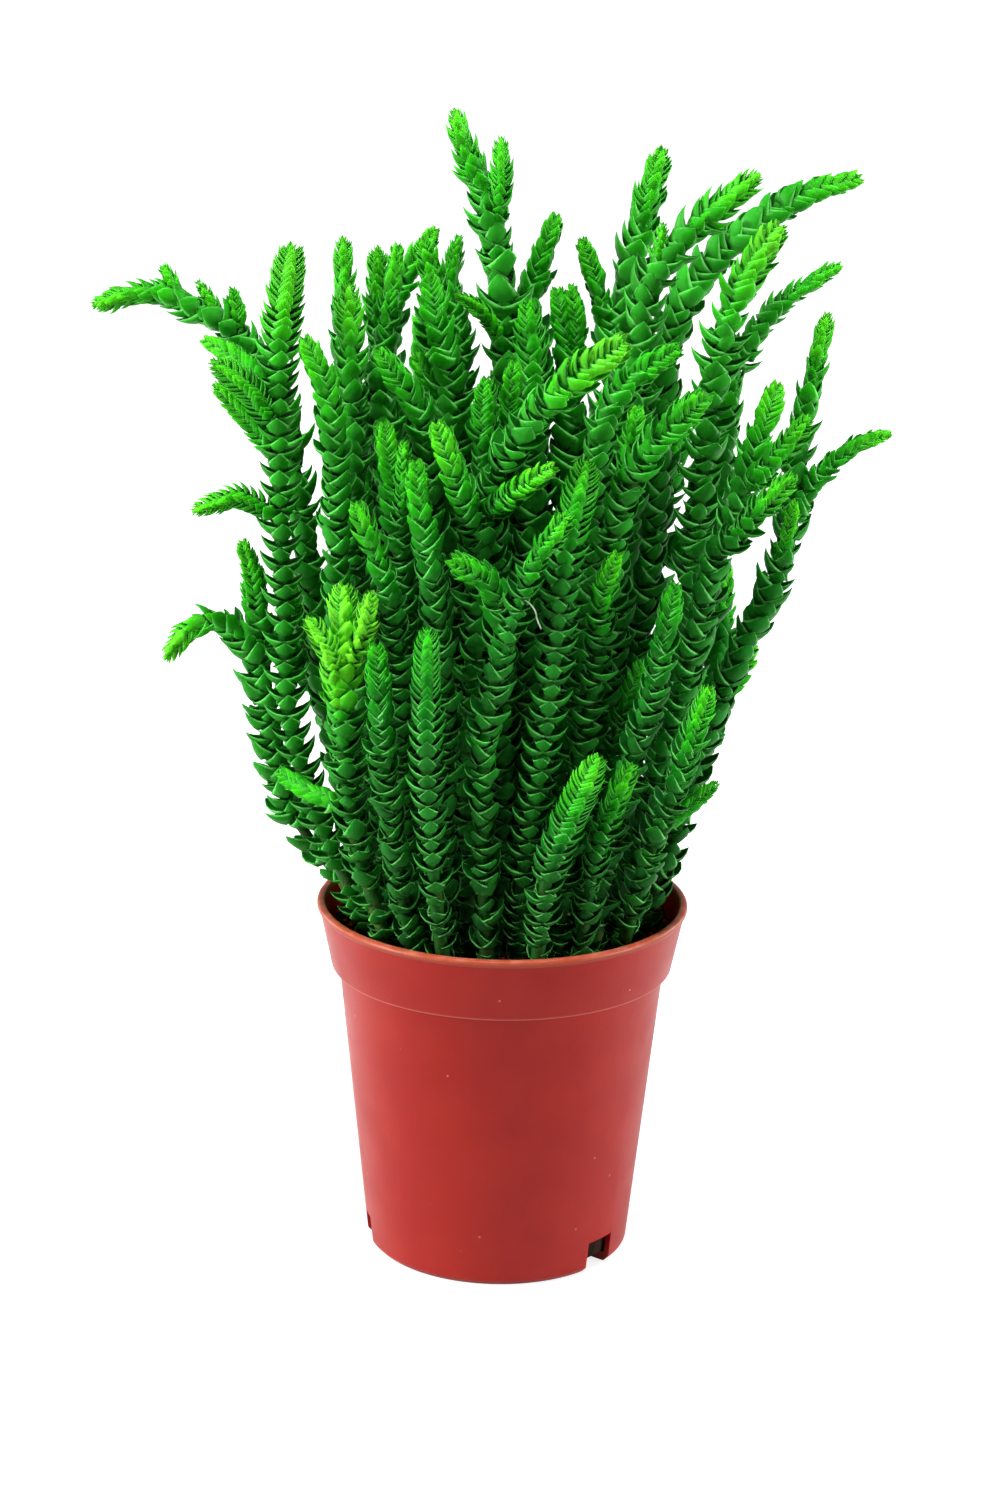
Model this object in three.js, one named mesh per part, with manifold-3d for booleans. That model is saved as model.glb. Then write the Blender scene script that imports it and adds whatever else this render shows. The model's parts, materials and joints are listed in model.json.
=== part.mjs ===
// A potted watch chain crassula: scale-leaved stems standing in the soil of a thin red nursery pot.
// Millimetres, +Z up, +Y to the back. The origin is the middle of the pot's flat underside.
import * as THREE from 'three';
import { mergeVertices } from 'three/addons/utils/BufferGeometryUtils.js';
import Module from 'manifold-3d';

const wasm = await Module();
wasm.setup();

// The pot: a 55 mm nursery pot, with a rim band that steps out of the tapered wall.
const pot = {
  height: 54, rimRadius: 27.5, baseRadius: 19.6, baseRounding: 0.9, wall: 1, floor: 1.4,
  bandHeight: 9.8, wallTopRadius: 24.2, bandRadius: 25.3, lipRadius: 27.1, lipHeight: 1.1, lipBevel: 0.3,
  sides: 44,
};

// Drainage notches through the foot of the wall, by bearing from the front, to the right.
const notches = { bearings: [51, 165, -80], width: 5.4, height: 5, depth: 4 };

// The soil fills the pot to a few millimetres below the rim.
const soil = { top: 48, gap: 0.3, holeRadius: 1.85, holeSides: 6 };

// Every stem runs straight down into its hole, and widens into leaf above the soil.
const root = { bottom: 40, radius: 1.3, neck: 0.3, reach: 20.6 };

// The air kept between leaf tips and the pot's mouth, inwards and above it.
const mouth = { gap: 0.5, above: 0.4 };

// Leaves sit in crossed pairs, one pair each step, as raised scales that point up the stem. One of
// the four ranks of scales looks roughly to the front, and each stem is turned a little differently.
const leaf = {
  step: 3.3, lift: 0.8, core: 0.58, buried: 0.4, lowShare: 0.57, lowLength: 22, forkLength: 5,
  tipLength: 11, turnStep: 25, turnSpan: 36, forkTurn: 10, fineness: 16,
};

// Neighbouring stems are moved apart until this much air is left between their leaf tips.
const spread = { gap: 0.5, near: 14, rounds: 300, share: 0.5, acrossView: 0.45, stiffness: 0.2 };

// The stems as they stand in front, each with its leaf-tip radius and hand-picked points from the
// soil up. A shoot starts at the point of its stem that lies nearest its own first point.
const stems = {
  left_weeping: {
    radius: 2.6,
    route: [[-20, 0, 48], [-25, 0, 56], [-30, 0, 63], [-34, 0, 71], [-36, 0, 83], [-38, 0, 92],
      [-43, 0, 96], [-47, 0, 94], [-50, 0, 90]],
    shoots: [{ radius: 2.5, route: [[-36, 0, 90], [-37, 0, 100], [-39, 0, 108]] }],
  },
  left_tall: {
    radius: 3.5,
    route: [[-18, -6, 48], [-26, -6, 66], [-31, -6, 82], [-32, -6, 99], [-33, -6, 133], [-31, -7, 152]],
    shoots: [
      { radius: 3, route: [[-33, -6, 125], [-37, -8, 132], [-42, -9, 136]] },
      { radius: 2.5, route: [[-33, -6, 129], [-38, -1, 134], [-44, 2, 137]] },
      { radius: 2.5, route: [[-33, -6, 122], [-38, -5, 128], [-42, -5, 132]] },
      { radius: 2.5, route: [[-33, -6, 112], [-38, -7, 116], [-45, -8, 114]] },
    ],
  },
  far_left: {
    radius: 2.8,
    route: [[-16, 3, 48], [-22, 4, 64], [-27, 5, 89], [-30, 5, 111], [-33, 5, 127], [-37, 5, 135],
      [-42, 5, 139], [-48, 5, 142], [-53, 5, 143], [-60, 5, 141]],
    shoots: [
      { radius: 2.2, route: [[-48, 5, 141], [-50, 5, 147]] },
      { radius: 2.2, route: [[-43, 5, 139], [-45, 4, 145]] },
      { radius: 2.4, route: [[-38, 5, 136], [-40, 4, 144]] },
    ],
  },
  left_rear: { radius: 2.8, route: [[-13, 7, 48], [-19, 8, 78], [-23, 8, 108], [-24, 7, 151]] },
  left_upright: { radius: 3.2, route: [[-14, -3, 48], [-19, -4, 76], [-22, -5, 101], [-23, -4, 146]] },
  left_forked: {
    radius: 3,
    route: [[-9, 10, 48], [-14, 11, 77], [-18, 11, 107], [-20, 10, 149]],
    shoots: [{ radius: 2.6, route: [[-20, 10, 132], [-18, 8, 142], [-17, 8, 150]] }],
  },
  left_bowed: {
    radius: 2.8,
    route: [[-5, 15, 48], [-10, 16, 75], [-15, 17, 106], [-19, 17, 132], [-16, 16, 144], [-12, 15, 151]],
  },
  middle_hooked: {
    radius: 2.9,
    route: [[-4, 8, 48], [-6, 8, 78], [-8, 8, 108], [-8, 8, 135], [-11, 7, 145], [-13, 6, 151]],
    shoots: [{ radius: 2.4, route: [[-9, 8, 139], [-9, 9, 145], [-8, 10, 151]] }],
  },
  middle_left: {
    radius: 3.3,
    route: [[-8, 2, 48], [-9, 1, 80], [-9, 0, 110], [-9, 0, 131], [-11, -1, 140], [-12, -1, 147]],
    shoots: [{ radius: 2.4, route: [[-9, 0, 128], [-14, 2, 135]] }],
  },
  topmost: {
    radius: 3,
    route: [[1, 6, 48], [0, 6, 78], [-1, 6, 134], [-2, 6, 147], [-4, 6, 157], [-7, 6, 164], [-9, 6, 171]],
    shoots: [
      { radius: 2.6, route: [[-3, 6, 151], [-2, 4, 158], [-2, 4, 166]] },
      { radius: 2.4, route: [[-1, 6, 137], [-4, 3, 141], [-8, 2, 144]] },
    ],
  },
  middle_rear: { radius: 2.9, route: [[6, 12, 48], [4, 12, 76], [2, 11, 134], [3, 11, 144], [6, 11, 154]] },
  middle_upright: { radius: 3.1, route: [[4, -1, 48], [3, -2, 81], [3, -2, 130], [2, -3, 144]] },
  right_inner: {
    radius: 2.9,
    route: [[10, 4, 48], [9, 4, 79], [9, 3, 109], [8, 2, 133], [6, 1, 145]],
    shoots: [{ radius: 2.2, route: [[8, 2, 132], [9, 1, 139], [8, 0, 146]] }],
  },
  right_tallest: {
    radius: 3.2,
    route: [[11, 9, 48], [13, 10, 77], [16, 10, 108], [17, 10, 138], [19, 10, 152], [22, 10, 165]],
    shoots: [{ radius: 2.6, route: [[16, 10, 133], [13, 9, 145], [11, 8, 151]] }],
  },
  right_arm: {
    radius: 3.3,
    route: [[12, -2, 48], [14, -1, 80], [18, 0, 138], [21, 0, 149], [26, 0, 155], [34, 0, 162]],
    shoots: [{ radius: 2.3, route: [[21, 0, 148], [21, 0, 155]] }],
  },
  right_far_arm: {
    radius: 2.9,
    route: [[15, 6, 48], [18, 7, 78], [20, 8, 108], [21, 9, 134], [26, 10, 146], [35, 11, 154],
      [42, 12, 158], [49, 13, 160]],
  },
  right_bright: {
    radius: 3.3,
    route: [[17, -4, 48], [22, -5, 77], [26, -6, 102], [28, -6, 126], [30, -6, 141], [33, -6, 149],
      [37, -7, 156]],
  },
  right_rear: {
    radius: 2.9,
    route: [[19, 4, 48], [25, 5, 78], [29, 6, 103], [31, 6, 124], [32, 6, 138]],
    shoots: [{ radius: 2.4, route: [[32, 6, 130], [36, 7, 140], [42, 8, 145], [47, 9, 148]] }],
  },
  right_edge: {
    radius: 2.8,
    route: [[20, 0, 48], [25, 0, 64], [29, 0, 80], [35, 0, 95], [40, 0, 108], [41, 0, 122], [45, 0, 144]],
    shoots: [
      { radius: 2.3, route: [[40, 0, 111], [44, -2, 119], [49, -3, 124], [54, -3, 126]] },
      { radius: 2.3, route: [[38, 0, 104], [41, -3, 116]] },
    ],
  },
  right_low: {
    radius: 3.1,
    route: [[17, -9, 48], [21, -10, 74], [25, -10, 90], [28, -10, 106], [31, -10, 115], [37, -7, 134]],
    shoots: [
      { radius: 2.8, route: [[32, -10, 117], [37, -13, 125], [41, -15, 131]] },
      { radius: 2.8, route: [[29, -10, 108], [34, -15, 117], [39, -17, 123]] },
    ],
  },
  right_short: { radius: 2.9, route: [[14, -13, 48], [18, -15, 73], [21, -16, 89], [24, -17, 107]] },
  right_front: {
    radius: 2.9,
    route: [[18, -12, 48], [19, -15, 65], [23, -17, 79], [27, -18, 93]],
    shoots: [{ radius: 2.4, route: [[20, -16, 70], [25, -13, 74], [29, -12, 77]] }],
  },
  front_dark: { radius: 3, route: [[12, -8, 48], [12, -11, 69], [15, -14, 82], [18, -16, 94]] },
  front_stub: { radius: 2.8, route: [[11, -17, 48], [13, -19, 66], [15, -20, 74], [18, -21, 82]] },
  front_sprig: { radius: 3.1, route: [[5, -20, 48], [6, -22, 63], [8, -23, 71], [13, -25, 84]] },
  front_tall: {
    radius: 3.3,
    route: [[2, -15, 48], [3, -18, 68], [5, -19, 81], [7, -20, 98], [8, -20, 110], [11, -21, 126]],
  },
  front_right: {
    radius: 3.3,
    route: [[8, -12, 48], [11, -13, 74], [14, -15, 96], [16, -17, 117], [20, -20, 127], [27, -23, 135]],
    shoots: [
      { radius: 2.6, route: [[14, -15, 96], [14, -18, 105], [16, -20, 112]] },
      { radius: 2.5, route: [[17, -17, 120], [18, -16, 132]] },
    ],
  },
  front_bright: {
    radius: 3.6,
    route: [[-5, -9, 48], [-5, -10, 78], [-4, -12, 103], [-3, -14, 118], [1, -18, 128], [7, -22, 136],
      [15, -26, 143]],
    shoots: [
      { radius: 3, route: [[-4, -13, 109], [-8, -17, 121], [-11, -19, 130]] },
      { radius: 2.6, route: [[-3, -14, 117], [1, -19, 121], [6, -22, 125]] },
    ],
  },
  front_weeping: {
    radius: 3.2,
    route: [[-2, -19, 48], [-3, -19, 70], [-3, -19, 86], [-1, -19, 100], [-3, -21, 108], [-8, -24, 112]],
    shoots: [{ radius: 2.6, route: [[-2, -19, 97], [3, -22, 110], [8, -24, 119]] }],
  },
  front_left: { radius: 3.1, route: [[-8, -14, 48], [-8, -15, 70], [-8, -15, 89], [-11, -16, 124]] },
  left_forward: {
    radius: 3,
    route: [[-12, -8, 48], [-13, -9, 78], [-14, -10, 101], [-17, -12, 128]],
    shoots: [{ radius: 2.2, route: [[-15, -10, 108], [-14, -13, 119], [-14, -14, 126]] }],
  },
  left_nodding: {
    radius: 3.1,
    route: [[-8, -3, 48], [-10, -4, 81], [-12, -6, 109], [-13, -8, 127], [-19, -11, 138]],
  },
  left_slanting: {
    radius: 3.1,
    route: [[-17, -10, 48], [-22, -11, 69], [-24, -12, 88], [-25, -12, 127], [-29, -12, 140]],
  },
  middle_forward: {
    radius: 3,
    route: [[-1, -7, 48], [-1, -7, 77], [-2, -8, 102], [-4, -10, 120], [-4, -12, 134]],
    shoots: [{ radius: 2.6, route: [[-3, -9, 112], [-1, -8, 124], [0, -9, 136]] }],
  },
  right_forward: {
    radius: 3.1,
    route: [[8, -6, 48], [10, -7, 82], [12, -8, 107], [12, -10, 123], [16, -12, 134], [23, -15, 140]],
  },
  front_yellow: {
    radius: 3.4,
    route: [[-17, -14, 48], [-21, -16, 68], [-22, -18, 83], [-22, -18, 106]],
    shoots: [
      { radius: 2.5, route: [[-22, -18, 92], [-19, -20, 100], [-18, -21, 106]] },
      { radius: 2.6, route: [[-22, -18, 88], [-24, -20, 97], [-27, -21, 102]] },
      { radius: 2.6, route: [[-22, -17, 72], [-27, -13, 74], [-32, -10, 76]] },
    ],
  },
  front_plain: { radius: 3, route: [[-13, -17, 48], [-15, -19, 68], [-17, -20, 84], [-18, -20, 99]] },
  front_straight: { radius: 3.1, route: [[-8, -19, 48], [-12, -20, 69], [-13, -20, 84], [-13, -20, 101]] },
  left_fan: {
    radius: 2.9,
    route: [[-13, -13, 48], [-14, -13, 76], [-14, -14, 96], [-16, -14, 108], [-20, -15, 118]],
  },
};

// The stems that fill the rear half, fanned out by a rule with a seeded draw. Pairs of numbers are
// the two ends of a range, and bends give the share of the lean and of the rise reached so far.
const rear = {
  count: 14, seed: 41, bearings: [30, 152], roots: [20, 16], heights: [88, 138], leans: [22, 11],
  sways: [-9, 9], radii: [2.7, 3.3], bends: [[0, 0], [0.25, 0.33], [0.6, 0.68], [1, 1]],
  shootRadius: 2.5, shootLengths: [12, 24], shootTurn: 28, shootBends: [[0, 0], [0.4, 0.4], [0.5, 1]],
};

// A repeatable draw between 0 and 1
function makeDraw(seed) {
  let state = seed;
  return () => {
    state = (state * 16807) % 2147483647;
    return state / 2147483647;
  };
}

// Rear stems alternate between two rows of roots, and the short ones lean out further.
function addRearStems() {
  const draw = makeDraw(rear.seed);
  const mix = ([from, to], share) => from + (to - from) * share;
  const [forkOut, forkUp] = rear.bends[2];
  for (let i = 0; i < rear.count; i += 1) {
    const bearing = mix(rear.bearings, i / (rear.count - 1));
    const foot = rear.roots[i % rear.roots.length];
    const tallness = draw();
    const lean = mix(rear.leans, tallness);
    const rise = mix(rear.heights, tallness) - soil.top;
    const sway = mix(rear.sways, draw());
    const length = mix(rear.shootLengths, draw());
    const side = draw() < 0.5 ? -rear.shootTurn : rear.shootTurn;
    const at = (out, turn, up) => {
      const angle = THREE.MathUtils.degToRad(bearing + turn);
      return [(foot + out) * Math.cos(angle), (foot + out) * Math.sin(angle), soil.top + up];
    };
    stems[`rear_${i + 1}`] = {
      radius: mix(rear.radii, draw()),
      route: rear.bends.map(([out, up]) => at(lean * out, sway * out, rise * up)),
      shoots: [{
        radius: rear.shootRadius,
        route: rear.shootBends.map(([out, up]) => (
          at(lean * forkOut + length * out, sway * forkOut + side * out, rise * forkUp + length * up)
        )),
      }],
    };
  }
}

// Points an equal step apart along the smooth curve through a route.
function evenPoints(route) {
  const corners = route.map((p) => new THREE.Vector3(...p));
  const curve = new THREE.CatmullRomCurve3(corners, false, 'catmullrom', 0.5);
  const fine = curve.getPoints(leaf.fineness * (route.length - 1));
  const along = [0];
  for (let i = 1; i < fine.length; i += 1) along.push(along[i - 1] + fine[i].distanceTo(fine[i - 1]));
  const length = along[along.length - 1];
  const count = Math.round(length / leaf.step);
  const points = [];
  for (let i = 0, k = 0; i <= count; i += 1) {
    const reach = length * i / count;
    while (k < fine.length - 2 && along[k + 1] < reach) k += 1;
    const share = (reach - along[k]) / (along[k + 1] - along[k]);
    points.push(fine[k].clone().lerp(fine[k + 1], share));
  }
  return points;
}

// How far the leaf tips reach at a point of a stem: small low down and at the growing tip.
function leafReach(strand, i) {
  const length = (strand.points.length - 1) * leaf.step;
  const fromStart = i * leaf.step;
  const lowLength = strand.parent ? leaf.forkLength : leaf.lowLength;
  const low = leaf.lowShare + (1 - leaf.lowShare) * Math.min(1, fromStart / lowLength);
  const blunt = Math.max(0, 1 - (length - fromStart) / leaf.tipLength);
  return strand.radius * low * Math.sqrt(1 - blunt * blunt);
}

// Each stem becomes a main strand and its shoots, which start on the main strand's points.
function layOut() {
  const strands = [];
  Object.entries(stems).forEach(([name, stem]) => {
    const main = { name, radius: stem.radius, points: evenPoints(stem.route), parent: null };
    strands.push(main);
    for (const shoot of stem.shoots ?? []) {
      const start = new THREE.Vector3(...shoot.route[0]);
      let joint = 0;
      main.points.forEach((p, i) => {
        if (p.distanceTo(start) < main.points[joint].distanceTo(start)) joint = i;
      });
      const route = [main.points[joint].toArray(), ...shoot.route.slice(1)];
      strands.push({ name, radius: shoot.radius, points: evenPoints(route), parent: main, joint });
    }
  });
  return strands;
}

// Moves strands of different stems apart, smoothly along each, and keeps them inside the rim.
function moveApart(strands) {
  const items = [];
  for (const strand of strands) {
    strand.reach = strand.points.map((p, i) => leafReach(strand, i));
    if (!strand.parent) strand.reach[0] = soil.holeRadius;
    strand.start = strand.points.map((p) => p.clone());
    strand.moves = strand.points.map(() => new THREE.Vector3());
    strand.points.forEach((point, i) => items.push({ strand, i, point, reach: strand.reach[i] }));
  }
  const pairs = [];
  for (let a = 0; a < items.length; a += 1) {
    for (let b = a + 1; b < items.length; b += 1) {
      const apart = items[a].strand.name !== items[b].strand.name;
      if (apart && items[a].point.distanceTo(items[b].point) < spread.near) pairs.push([items[a], items[b]]);
    }
  }
  const offset = new THREE.Vector3();
  for (let round = 0; round < spread.rounds; round += 1) {
    for (const [a, b] of pairs) {
      offset.subVectors(b.point, a.point);
      const lack = a.reach + b.reach + spread.gap - offset.length();
      if (lack > 0) {
        offset.set(offset.x * spread.acrossView, offset.y, offset.z * spread.acrossView);
        offset.setLength(lack * spread.share);
        a.strand.moves[a.i].sub(offset);
        b.strand.moves[b.i].add(offset);
      }
    }
    strands.forEach(settle);
  }
}

// Evens out how far a strand's points have moved, then puts them there. A shoot goes with its stem.
function settle(strand) {
  const { start, points, moves, parent, joint } = strand;
  const last = points.length - 1;
  if (parent) moves[0].set(0, 0, 0);
  else moves[0].z = 0;
  for (let pass = 0; pass < 2; pass += 1) {
    for (let i = 1; i < last; i += 1) {
      const middle = moves[i - 1].clone().add(moves[i + 1]).multiplyScalar(0.5);
      moves[i].lerp(middle, spread.stiffness);
    }
  }
  moves[last].lerp(moves[last - 1], spread.stiffness);
  points.forEach((point, i) => {
    point.addVectors(start[i], moves[i]);
    if (parent) point.add(parent.moves[joint]);
    keepInside(point, i === 0 && !parent ? 0 : strand.reach[i]);
    moves[i].subVectors(point, start[i]);
    if (parent) moves[i].sub(parent.moves[joint]);
  });
}

// Low points stay within the pot's mouth, and roots within the soil.
function keepInside(point, reach) {
  const limit = reach ? pot.lipRadius - pot.wall - mouth.gap - reach : root.reach;
  const out = Math.hypot(point.x, point.y);
  if (out > limit && point.z - reach < pot.height + mouth.above) {
    point.x *= limit / out;
    point.y *= limit / out;
  }
}

// Four corners round a stem. Leaf tips stand out on one pair of sides, and the stem lies between.
function leafRing(center, sides, evenTips, tip, core, lift) {
  const corners = sides.map((side, k) => {
    const isTip = (k % 2 === 0) === evenTips;
    const corner = center.clone().addScaledVector(side, isTip ? tip : core);
    return isTip ? corner.add(lift) : corner;
  });
  return { corners, evenTips };
}

// The rings of a strand from its foot to its tip, carried along without twist.
function strandRings({ points, reach, parent, radius }, turn) {
  const up = new THREE.Vector3(0, 0, 1);
  const flat = new THREE.Vector3();
  let across = new THREE.Vector3(Math.cos(turn), Math.sin(turn), 0);
  const sidesAbout = (axis) => {
    across.addScaledVector(axis, -across.dot(axis)).normalize();
    const beside = axis.clone().cross(across);
    return [across.clone(), beside, across.clone().negate(), beside.clone().negate()];
  };
  const rings = [];
  if (parent) {
    const core = reach[0] * leaf.buried;
    const away = points[1].clone().sub(points[0]).normalize();
    rings.push(leafRing(points[0], sidesAbout(away), true, core, core, flat));
  } else {
    for (const z of [root.bottom, soil.top + root.neck]) {
      rings.push(leafRing(points[0].clone().setZ(z), sidesAbout(up), true, root.radius, root.radius, flat));
    }
  }
  for (let i = 1; i < points.length - 1; i += 1) {
    const ahead = points[i + 1].clone().sub(points[i - 1]).normalize();
    const lift = ahead.clone().multiplyScalar(leaf.lift * leaf.step * reach[i] / radius);
    rings.push(leafRing(points[i], sidesAbout(ahead), i % 2 === 0, reach[i], reach[i] * leaf.core, lift));
  }
  return rings;
}

// A closed skin over the rings. Each quad is split so that every leaf comes out as a pyramid.
function strandSolid(strand, turn) {
  const rings = strandRings(strand, turn);
  const corners = rings.flatMap((ring) => ring.corners);
  const middle = new THREE.Vector3();
  rings[0].corners.forEach((corner, k, { length }) => middle.addScaledVector(corner, 1 / length));
  const foot = corners.push(middle) - 1;
  const top = corners.push(strand.points[strand.points.length - 1]) - 1;
  const faces = [];
  rings.forEach(({ evenTips }, i) => {
    for (let k = 0; k < 4; k += 1) {
      const a = 4 * i + k;
      const b = 4 * i + (k + 1) % 4;
      const [c, d] = [b + 4, a + 4];
      if (i === 0) faces.push(foot, b, a);
      if (i === rings.length - 1) faces.push(a, b, top);
      else if ((k % 2 === 0) === evenTips) faces.push(a, b, d, b, c, d);
      else faces.push(a, b, c, a, c, d);
    }
  });
  return solidOf(corners.flatMap((corner) => corner.toArray()), faces);
}

function solidOf(positions, faces) {
  return new wasm.Manifold(new wasm.Mesh({
    numProp: 3,
    vertProperties: new Float32Array(positions),
    triVerts: new Uint32Array(faces),
  }));
}

// A three.js geometry as a solid: shared corners merged, and faces without area left out.
function solidFrom(geometry) {
  geometry.deleteAttribute('normal');
  geometry.deleteAttribute('uv');
  const merged = mergeVertices(geometry);
  const index = merged.index.array;
  const faces = [];
  for (let i = 0; i < index.length; i += 3) {
    const [a, b, c] = index.slice(i, i + 3);
    if (a !== b && b !== c && c !== a) faces.push(a, b, c);
  }
  return solidOf(merged.attributes.position.array, faces);
}

function turned(profile) {
  const lathe = new THREE.LatheGeometry(profile.map(([r, z]) => new THREE.Vector2(r, z)), pot.sides);
  return solidFrom(lathe.rotateX(Math.PI / 2));
}

const bandFoot = pot.height - pot.bandHeight;
const lipFoot = pot.height - pot.lipHeight;

function makePot() {
  const { wall, floor, rimRadius, lipRadius, bandRadius, wallTopRadius, baseRadius, baseRounding } = pot;
  const shell = turned([
    [0, 0],
    [baseRadius - baseRounding, 0],
    [baseRadius, baseRounding],
    [wallTopRadius, bandFoot],
    [bandRadius, bandFoot],
    [lipRadius, lipFoot],
    [rimRadius, lipFoot + pot.lipBevel],
    [rimRadius, pot.height - pot.lipBevel],
    [rimRadius - pot.lipBevel, pot.height],
    [lipRadius - wall + pot.lipBevel, pot.height],
    [lipRadius - wall, lipFoot],
    [bandRadius - wall, bandFoot + wall],
    [wallTopRadius - wall, bandFoot],
    [innerFoot(), floor],
    [0, floor],
  ]);
  return notches.bearings.reduce((body, bearing) => {
    const box = new THREE.BoxGeometry(notches.width, notches.depth * 2, notches.height * 2);
    box.translate(0, -baseRadius, 0);
    box.rotateZ(THREE.MathUtils.degToRad(bearing));
    return body.subtract(solidFrom(box));
  }, shell);
}

// The inner radius of the tapered wall where it meets the floor
function innerFoot() {
  return THREE.MathUtils.mapLinear(pot.floor, 0, bandFoot, pot.baseRadius, pot.wallTopRadius) - pot.wall;
}

function makeSoil(roots) {
  const { wall, floor, bandRadius, lipRadius, wallTopRadius } = pot;
  const { gap, top } = soil;
  const topRadius = THREE.MathUtils.mapLinear(top, bandFoot + wall, lipFoot, bandRadius, lipRadius) - wall;
  const fill = turned([
    [0, floor + gap],
    [innerFoot() - gap, floor + gap],
    [wallTopRadius - wall - gap, bandFoot],
    [bandRadius - wall - gap, bandFoot + wall + gap],
    [topRadius - gap, top],
    [0, top],
  ]);
  const holeDepth = top - root.bottom + gap;
  return roots.reduce((body, { x, y }) => {
    const hole = new THREE.CylinderGeometry(soil.holeRadius, soil.holeRadius, 2 * holeDepth, soil.holeSides);
    hole.rotateX(Math.PI / 2);
    hole.translate(x, y, top);
    return body.subtract(solidFrom(hole));
  }, fill);
}

function addPart(group, name, body, material) {
  const { vertProperties, triVerts } = body.getMesh();
  const geometry = new THREE.BufferGeometry();
  geometry.setAttribute('position', new THREE.BufferAttribute(vertProperties, 3));
  geometry.setIndex(new THREE.BufferAttribute(triVerts, 1));
  geometry.computeVertexNormals();
  const mesh = new THREE.Mesh(geometry, material);
  mesh.name = name;
  group.add(mesh);
}

addRearStems();
const strands = layOut();
moveApart(strands);

const redPlastic = new THREE.MeshStandardMaterial({ color: '#a9342c', roughness: 0.4, metalness: 0 });
const darkSoil = new THREE.MeshStandardMaterial({ color: '#2b1a12', roughness: 1, metalness: 0 });
const greenLeaf = new THREE.MeshStandardMaterial({ color: '#2f8f2c', roughness: 0.5, metalness: 0 });

const plant = new THREE.Group();
addPart(plant, 'pot', makePot(), redPlastic);
addPart(plant, 'soil', makeSoil(strands.filter((s) => !s.parent).map((s) => s.points[0])), darkSoil);
Object.keys(stems).forEach((name, index) => {
  const turn = (leaf.turnStep * index) % leaf.turnSpan - leaf.turnSpan / 2;
  const parts = strands.filter((strand) => strand.name === name).map((strand) => (
    strandSolid(strand, THREE.MathUtils.degToRad(strand.parent ? turn + leaf.forkTurn : turn))
  ));
  addPart(plant, `stem_${name}`, parts.reduce((whole, part) => whole.add(part)), greenLeaf);
});

export default plant;
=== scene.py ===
import json
import math
import random

import bmesh
import bpy
import numpy as np
from mathutils import Matrix, Vector, noise

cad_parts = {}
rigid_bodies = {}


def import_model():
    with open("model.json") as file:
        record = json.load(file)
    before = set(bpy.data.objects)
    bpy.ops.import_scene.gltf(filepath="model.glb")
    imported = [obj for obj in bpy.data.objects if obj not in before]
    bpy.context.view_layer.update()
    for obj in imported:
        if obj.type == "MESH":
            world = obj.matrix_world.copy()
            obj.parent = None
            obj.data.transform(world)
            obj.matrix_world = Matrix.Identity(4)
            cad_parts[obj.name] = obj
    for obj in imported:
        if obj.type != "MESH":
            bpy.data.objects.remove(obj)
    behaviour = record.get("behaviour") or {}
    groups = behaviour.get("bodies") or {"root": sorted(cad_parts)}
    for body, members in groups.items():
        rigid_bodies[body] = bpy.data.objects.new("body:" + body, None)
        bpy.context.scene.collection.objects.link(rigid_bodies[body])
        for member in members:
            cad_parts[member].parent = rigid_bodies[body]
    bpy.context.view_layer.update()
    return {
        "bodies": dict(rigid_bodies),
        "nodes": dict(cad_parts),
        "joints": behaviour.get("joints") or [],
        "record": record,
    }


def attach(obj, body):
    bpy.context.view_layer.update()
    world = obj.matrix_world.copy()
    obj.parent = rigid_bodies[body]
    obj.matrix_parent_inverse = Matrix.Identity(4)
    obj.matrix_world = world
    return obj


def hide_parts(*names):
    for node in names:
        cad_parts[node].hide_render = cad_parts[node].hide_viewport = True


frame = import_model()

# Potted watch chain crassula. Sizes in the settings are millimetres; meshes are made in metres.
# +Z is up and +Y is the back.
mm = 0.001

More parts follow.
